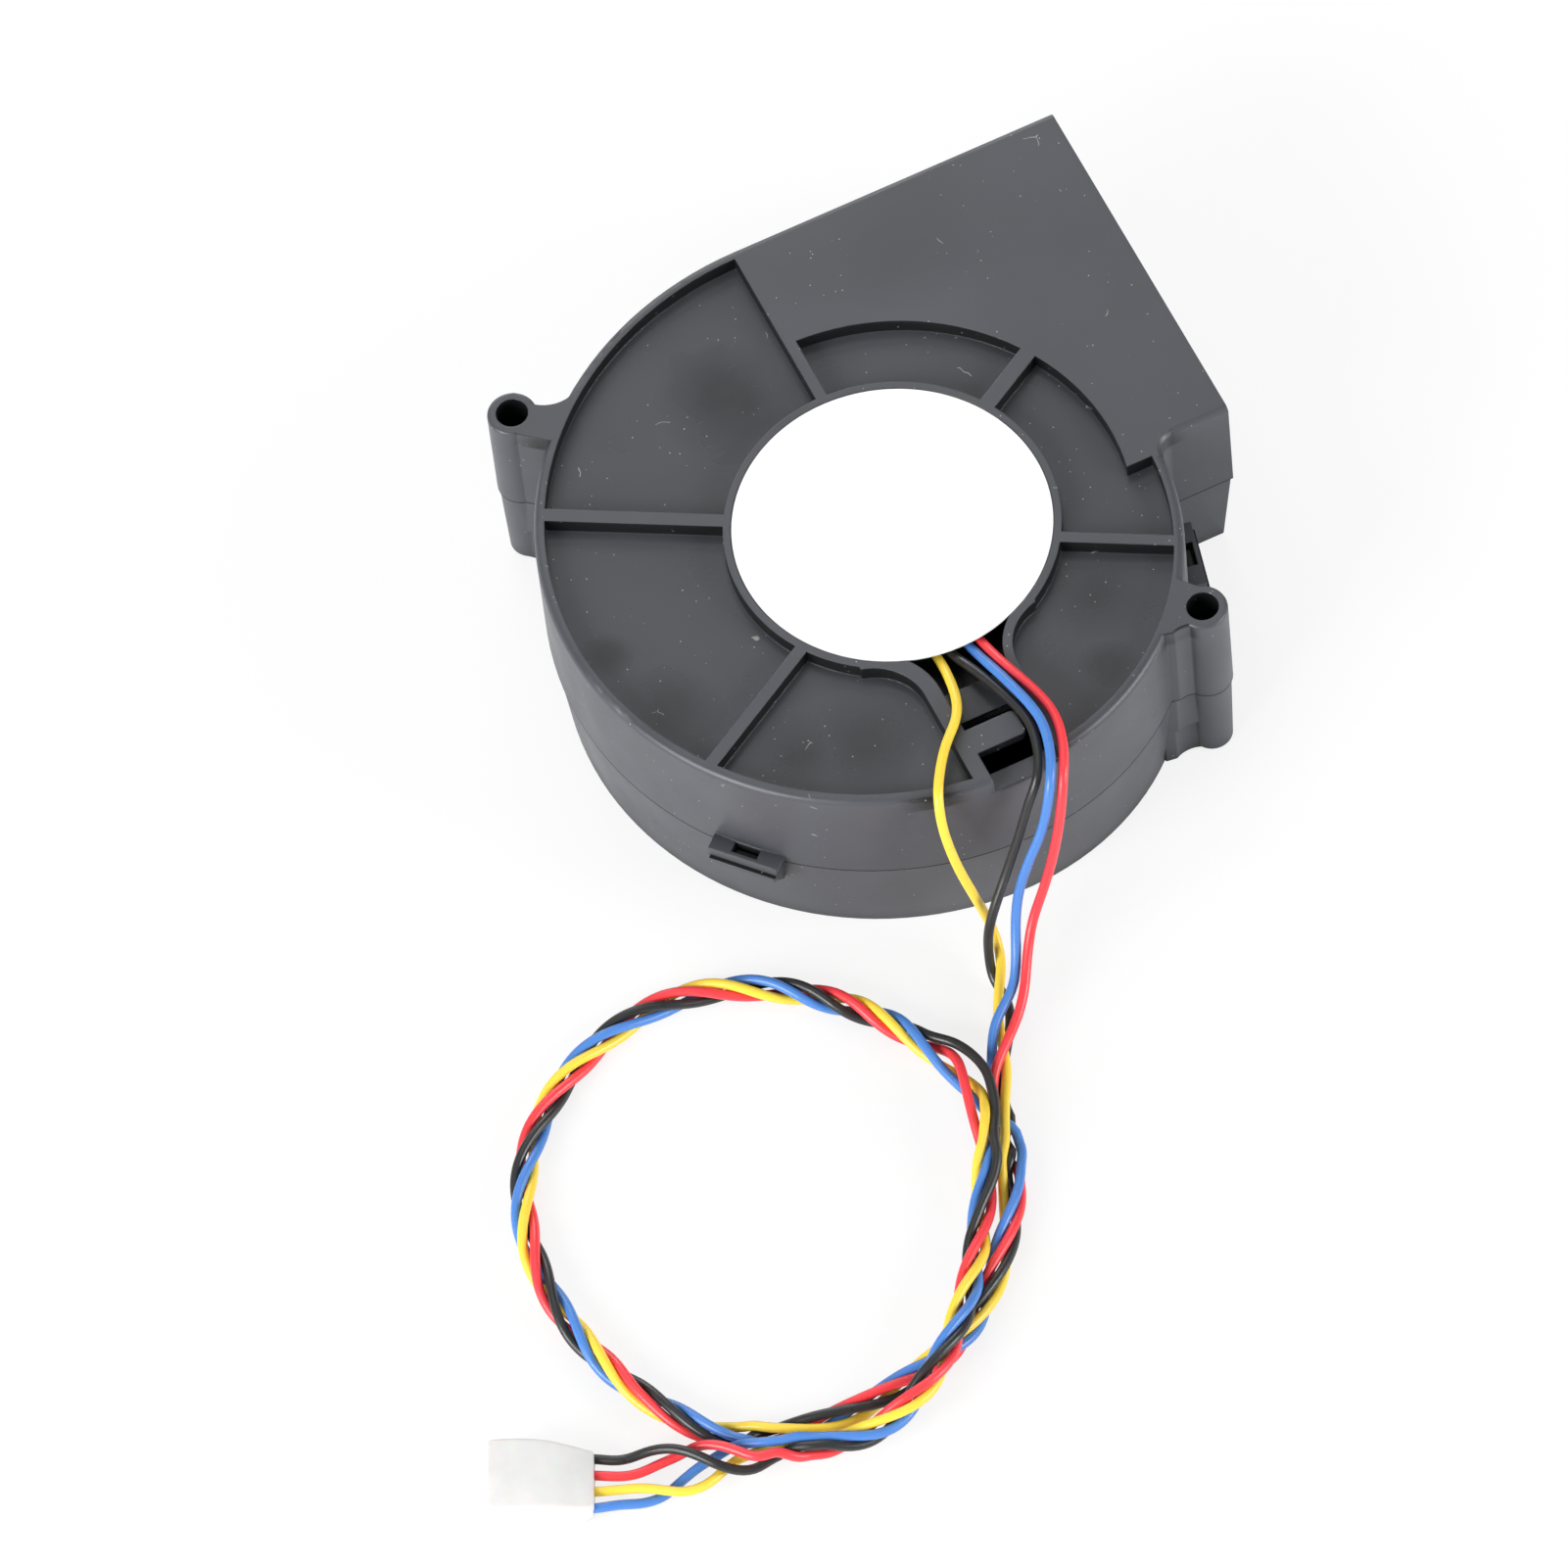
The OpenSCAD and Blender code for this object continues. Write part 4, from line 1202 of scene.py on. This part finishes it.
@dataclass(frozen=True)
class Bight:
    """Stretch in which one lead stands off the twist."""

    strand: Strand
    from_mm: float
    to_mm: float
    points: tuple[Point, ...]


BIGHTS: tuple[Bight, ...] = (
    Bight(Strand.BLACK, 15.0, 27.5, ((-21.8, -77.3, 0.8), (-23.2, -81, 0.8), (-24.6, -84.6, 0.8))),
    Bight(Strand.BLACK, 214.5, 243.0,
          ((-22.4, -62.2, 3.8), (-21, -66.1, 4.6), (-20.7, -69.8, 5), (-22, -73.7, 5), (-23.9, -77.6, 5),
           (-25.4, -81.3, 5), (-27, -84.4, 4.8), (-30.4, -87.4, 4.6))),
)


def settle(lines: dict[Strand, list[Vector]], gap: float, rounds: int = 40) -> None:
    """Pushes the leads apart until none cuts into another, and up off the floor.

    Args:
        lines: evenly spaced centrelines, changed in place.
        gap: smallest distance between two centrelines, in metres.
        rounds: how often every point is pushed.
    """
    held_start = 40
    held_end = 16
    own_reach = 8
    share = 0.6
    spread = 3
    for _ in range(rounds):
        owners = [(strand, i) for strand, line in lines.items() for i in range(len(line))]
        tree = KDTree(len(owners))
        for index, (strand, i) in enumerate(owners):
            tree.insert(lines[strand][i], index)
        tree.balance()
        pushes = {strand: [Vector() for _ in line] for strand, line in lines.items()}
        for strand, i in owners:
            if i < held_start or i >= len(lines[strand]) - held_end:
                continue
            here = lines[strand][i]
            deepest = 0.0
            for point, index, distance in tree.find_range(here, gap):
                rival, j = owners[index]
                if distance == 0 or (rival is strand and abs(i - j) < own_reach):
                    continue
                if gap - distance > deepest:
                    deepest = gap - distance
                    pushes[strand][i] = (here - point).normalized() * deepest * share
        for strand, line in lines.items():
            soft = eased(pushes[strand], spread)
            for i, push in enumerate(soft):
                line[i] = line[i] + push
                line[i].z = max(line[i].z, gap / 2)


LEAD_COLOURS: dict[Strand, tuple[Colour, Colour]] = {
    Strand.YELLOW: ((0.95, 0.67, 0.060), (0.82, 0.53, 0.04)),
    Strand.BLACK: ((0.024, 0.024, 0.025), (0.06, 0.06, 0.06)),
    Strand.BLUE: ((0.072, 0.225, 0.62), (0.048, 0.15, 0.46)),
    Strand.RED: ((0.88, 0.050, 0.062), (0.64, 0.03, 0.04)),
}


@dataclass
class LeadSet:
    """The four leads, twisted from near the casing to just before the plug.

    axis_rounds and lead_rounds say how often the cord's middle line and each lead are smoothed, and
    spacing is the distance kept between two leads as a share of their diameter.
    """

    plug: Plug
    diameter: float = 1.4 * MM
    twist_radius: float = 1.24 * MM
    twist_from_mm: float = 18.0
    twist_to_mm: float = 292.0
    axis_rounds: int = 12
    lead_rounds: int = 5
    spacing: float = 1.015
    body: str = "casing"
    lines: dict[Strand, list[Vector]] = field(default_factory=dict)

    def plug_side(self, strand: Strand) -> list[Vector]:
        """Brings one lead from the end of the twist into the plug.

        Args:
            strand: the lead.

        Returns:
            Its points in metres.
        """
        outside_mm, inside_mm = 0.6, 2.4
        way = (Strand.BLACK, Strand.RED, Strand.YELLOW, Strand.BLUE).index(strand)
        last = [self.plug.entry(way, outside_mm), self.plug.entry(way, -inside_mm)]
        return [mm(p) for p in PLUG_SIDE[strand]] + last

    def turn(self, strand: Strand, gone_mm: float) -> float:
        """Finds how far one lead has turned round the cord, a quarter turn where it lies on top.

        Args:
            strand: the lead.
            gone_mm: distance along the cord.

        Returns:
            The angle in radians.
        """
        marks = ON_TOP[strand]
        for k, (before, after) in enumerate(zip(marks, marks[1:])):
            if gone_mm <= after:
                return 2 * math.pi * (0.25 + k + (gone_mm - before) / (after - before))
        return 2 * math.pi * 0.25

    def twisted(self, strand: Strand) -> list[Vector]:
        """Lays one lead along the twist.

        Args:
            strand: the lead.

        Returns:
            Its points in metres.
        """
        every = 3
        axis = eased(Route(tuple(mm(p) for p in CORD_ROUTE)).fine(), self.axis_rounds)
        gone = 0.0
        laid: list[tuple[float, Vector]] = []
        for i, here in enumerate(axis):
            ahead = axis[min(i + 1, len(axis) - 1)] - axis[max(i - 1, 0)]
            ahead.normalize()
            side = Vector((0, 0, 1)).cross(ahead).normalized()
            above = ahead.cross(side)
            if i:
                gone += (here - axis[i - 1]).length / MM
            if i % every == 0 and self.twist_from_mm <= gone <= self.twist_to_mm:
                turn = self.turn(strand, gone)
                out = math.cos(turn) * side + math.sin(turn) * above
                laid.append((gone, here + self.twist_radius * out))
        for bight in BIGHTS:
            if bight.strand is strand:
                step = (bight.to_mm - bight.from_mm) / (len(bight.points) + 1)
                laid = [(gone, point) for gone, point in laid if not bight.from_mm < gone < bight.to_mm]
                laid += [(bight.from_mm + step * (k + 1), mm(p)) for k, p in enumerate(bight.points)]
                laid.sort(key=lambda pair: pair[0])
        return [point for _, point in laid]

    def lay(self) -> None:
        """Works out the centrelines of all four leads."""
        for strand in Strand:
            stations = [mm(p) for p in FAN_SIDE[strand]] + self.twisted(strand) + self.plug_side(strand)
            self.lines[strand] = eased(Route(tuple(stations)).fine(), self.lead_rounds)
        settle(self.lines, self.diameter * self.spacing)

    def tube(self, strand: Strand, points: list[Vector]) -> bpy.types.Object:
        """Makes one lead round its centreline.

        Args:
            strand: the lead.
            points: its centreline.

        Returns:
            The new piece.
        """
        name = f"lead_{strand.value}_strand"
        curve = bpy.data.curves.new(name, "CURVE")
        curve.dimensions = "3D"
        curve.bevel_depth = self.diameter / 2
        curve.bevel_resolution = 3
        curve.use_fill_caps = True
        spline = curve.splines.new("POLY")
        spline.points.add(len(points) - 1)
        for knot, point in zip(spline.points, points):
            knot.co = (*point, 1.0)
        spline.use_smooth = True
        base, scuffed = LEAD_COLOURS[strand]
        curve.materials.append(LeadInsulation(f"{strand.value}_insulation", base, scuffed).build())
        piece = bpy.data.objects.new(name, curve)
        bpy.context.collection.objects.link(piece)
        return piece

    def build(self) -> None:
        self.lay()
        for strand, points in self.lines.items():
            name = f"lead_{strand.value}"
            piece = self.tube(strand, points)
            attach(piece, self.body)
            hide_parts(name, *(["twisted_cord"] if strand is Strand.BLACK else []))


# The fan


@dataclass
class Casing:
    """Both halves of the casing, and the label."""

    recess_mm: tuple[float, float] = (29.8, 31.1)
    seam_mm: float = 15.2
    # Dark patches on the upper face, X, Y and radius in millimetres: smudges, and painted shade where a
    # recess lay darker.
    smudge_and_shade_mm: tuple[Point, ...] = (
        (-10.4, 30.7, 6.6), (-39.5, -11.5, 4.6), (20.7, -22, 4.8), (16.8, -33.2, 2.8),
        (-27, -26.3, 4.6), (-18.2, -28.8, 5.4), (-43.3, 0.7, 2.4),
    )

    def build(self, frame: dict) -> None:
        """Dresses the casing and the label.
        """
        shell = MouldedPlastic("casing_plastic", (0.061, 0.064, 0.074), (0.070, 0.073, 0.084), edge=0.0003,
                               recess_mm=self.recess_mm, seam_mm=self.seam_mm, smudge_and_shade_mm=self.smudge_and_shade_mm)
        dress(("rear_shell", "front_shell"), shell, frame)
        dress(("label_disc",), LabelFilm("label_film", (0.90, 0.90, 0.90), (0.87, 0.87, 0.87)), frame)


@dataclass
class Rotor:
    """Impeller, yoke, magnet, shaft and what turns with them."""

    def build(self, frame: dict) -> None:
        """Dresses the rotor.
        """
        blades = MouldedPlastic("impeller_plastic", (0.018, 0.018, 0.020), (0.026, 0.026, 0.028),
                                shine=0.36, edge=0.00012, dust=0.3)
        brass = Metal("turned_brass", (0.72, 0.53, 0.25), (0.52, 0.36, 0.15), 0.22, Grain.TURNED)
        ground = Metal("ground_steel", (0.70, 0.71, 0.73), (0.50, 0.51, 0.53), 0.12, Grain.TURNED)
        spring = Metal("spring_steel", (0.34, 0.35, 0.37), (0.20, 0.21, 0.23), 0.3)
        dress(("impeller",), blades, frame)
        dress(("rotor_yoke",), Metal("yoke_steel", (0.56, 0.56, 0.57), (0.36, 0.36, 0.37), 0.28), frame)
        dress(("magnet_ring",), DullSolid("ferrite", (0.045, 0.042, 0.040), (0.085, 0.08, 0.075)), frame)
        dress(("rotor_bushing", "bearing_tube"), brass, frame)
        dress(("shaft",), ground, frame)
        dress(("retaining_clip", "preload_spring"), spring, frame)


@dataclass
class Bearings:
    """The two ball bearings."""

    def build(self, frame: dict) -> None:
        """Dresses rings and balls.
        """
        names = tuple(f"{level}_{ring}_race" for level in ("upper", "lower") for ring in ("outer", "inner"))
        ring = Metal("ring_steel", (0.66, 0.67, 0.69), (0.48, 0.49, 0.51), 0.14, Grain.TURNED)
        ball = Metal("ball_steel", (0.76, 0.77, 0.79), (0.60, 0.61, 0.63), 0.07)
        dress(names, ring, frame)
        dress(("upper_ball_set", "lower_ball_set"), ball, frame)


@dataclass
class Stator:
    """Core, coils, insulators and the board that drives them."""

    def build(self, frame: dict) -> None:
        """Dresses the stator and its board.
        """
        sheets = StackedSheets("lamination_steel", (0.42, 0.42, 0.43), (0.10, 0.09, 0.085))
        nylon = DullSolid("insulator_nylon", (0.70, 0.66, 0.54), (0.62, 0.58, 0.47), 0.45)
        wire = CoilWire("enamelled_wire", (0.62, 0.25, 0.09), (0.16, 0.05, 0.02))
        laminate = BoardLaminate("board_laminate", (0.015, 0.13, 0.05), (0.05, 0.24, 0.09))
        epoxy = DullSolid("chip_epoxy", (0.022, 0.022, 0.024), (0.035, 0.035, 0.037), 0.5)
        ceramic = DullSolid("capacitor_ceramic", (0.42, 0.31, 0.18), (0.5, 0.38, 0.24))
        dress(("stator_core",), sheets, frame)
        dress(("upper_insulator", "lower_insulator"), nylon, frame)
        dress(("windings",), wire, frame)
        dress(("circuit_board",), laminate, frame)
        dress(("driver_chip", "hall_sensor", "chip_resistors"), epoxy, frame)
        dress(("board_capacitor",), ceramic, frame)
        dress(("solder_joints",), Metal("solder", (0.66, 0.66, 0.66), (0.46, 0.46, 0.46), 0.2), frame)


def main() -> None:
    """Builds the stage, the plug, the leads and the finishes, in that order."""
    logging.basicConfig(level=logging.INFO, format="%(name)s: %(message)s")
    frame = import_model()
    Studio().build()
    plug = Plug()
    plug.build(frame)
    LeadSet(plug).build()
    for part in (Casing(), Rotor(), Bearings(), Stator()):
        part.build(frame)
        LOG.info("finished %s", type(part).__name__)


if __name__ == "__main__":
    main()
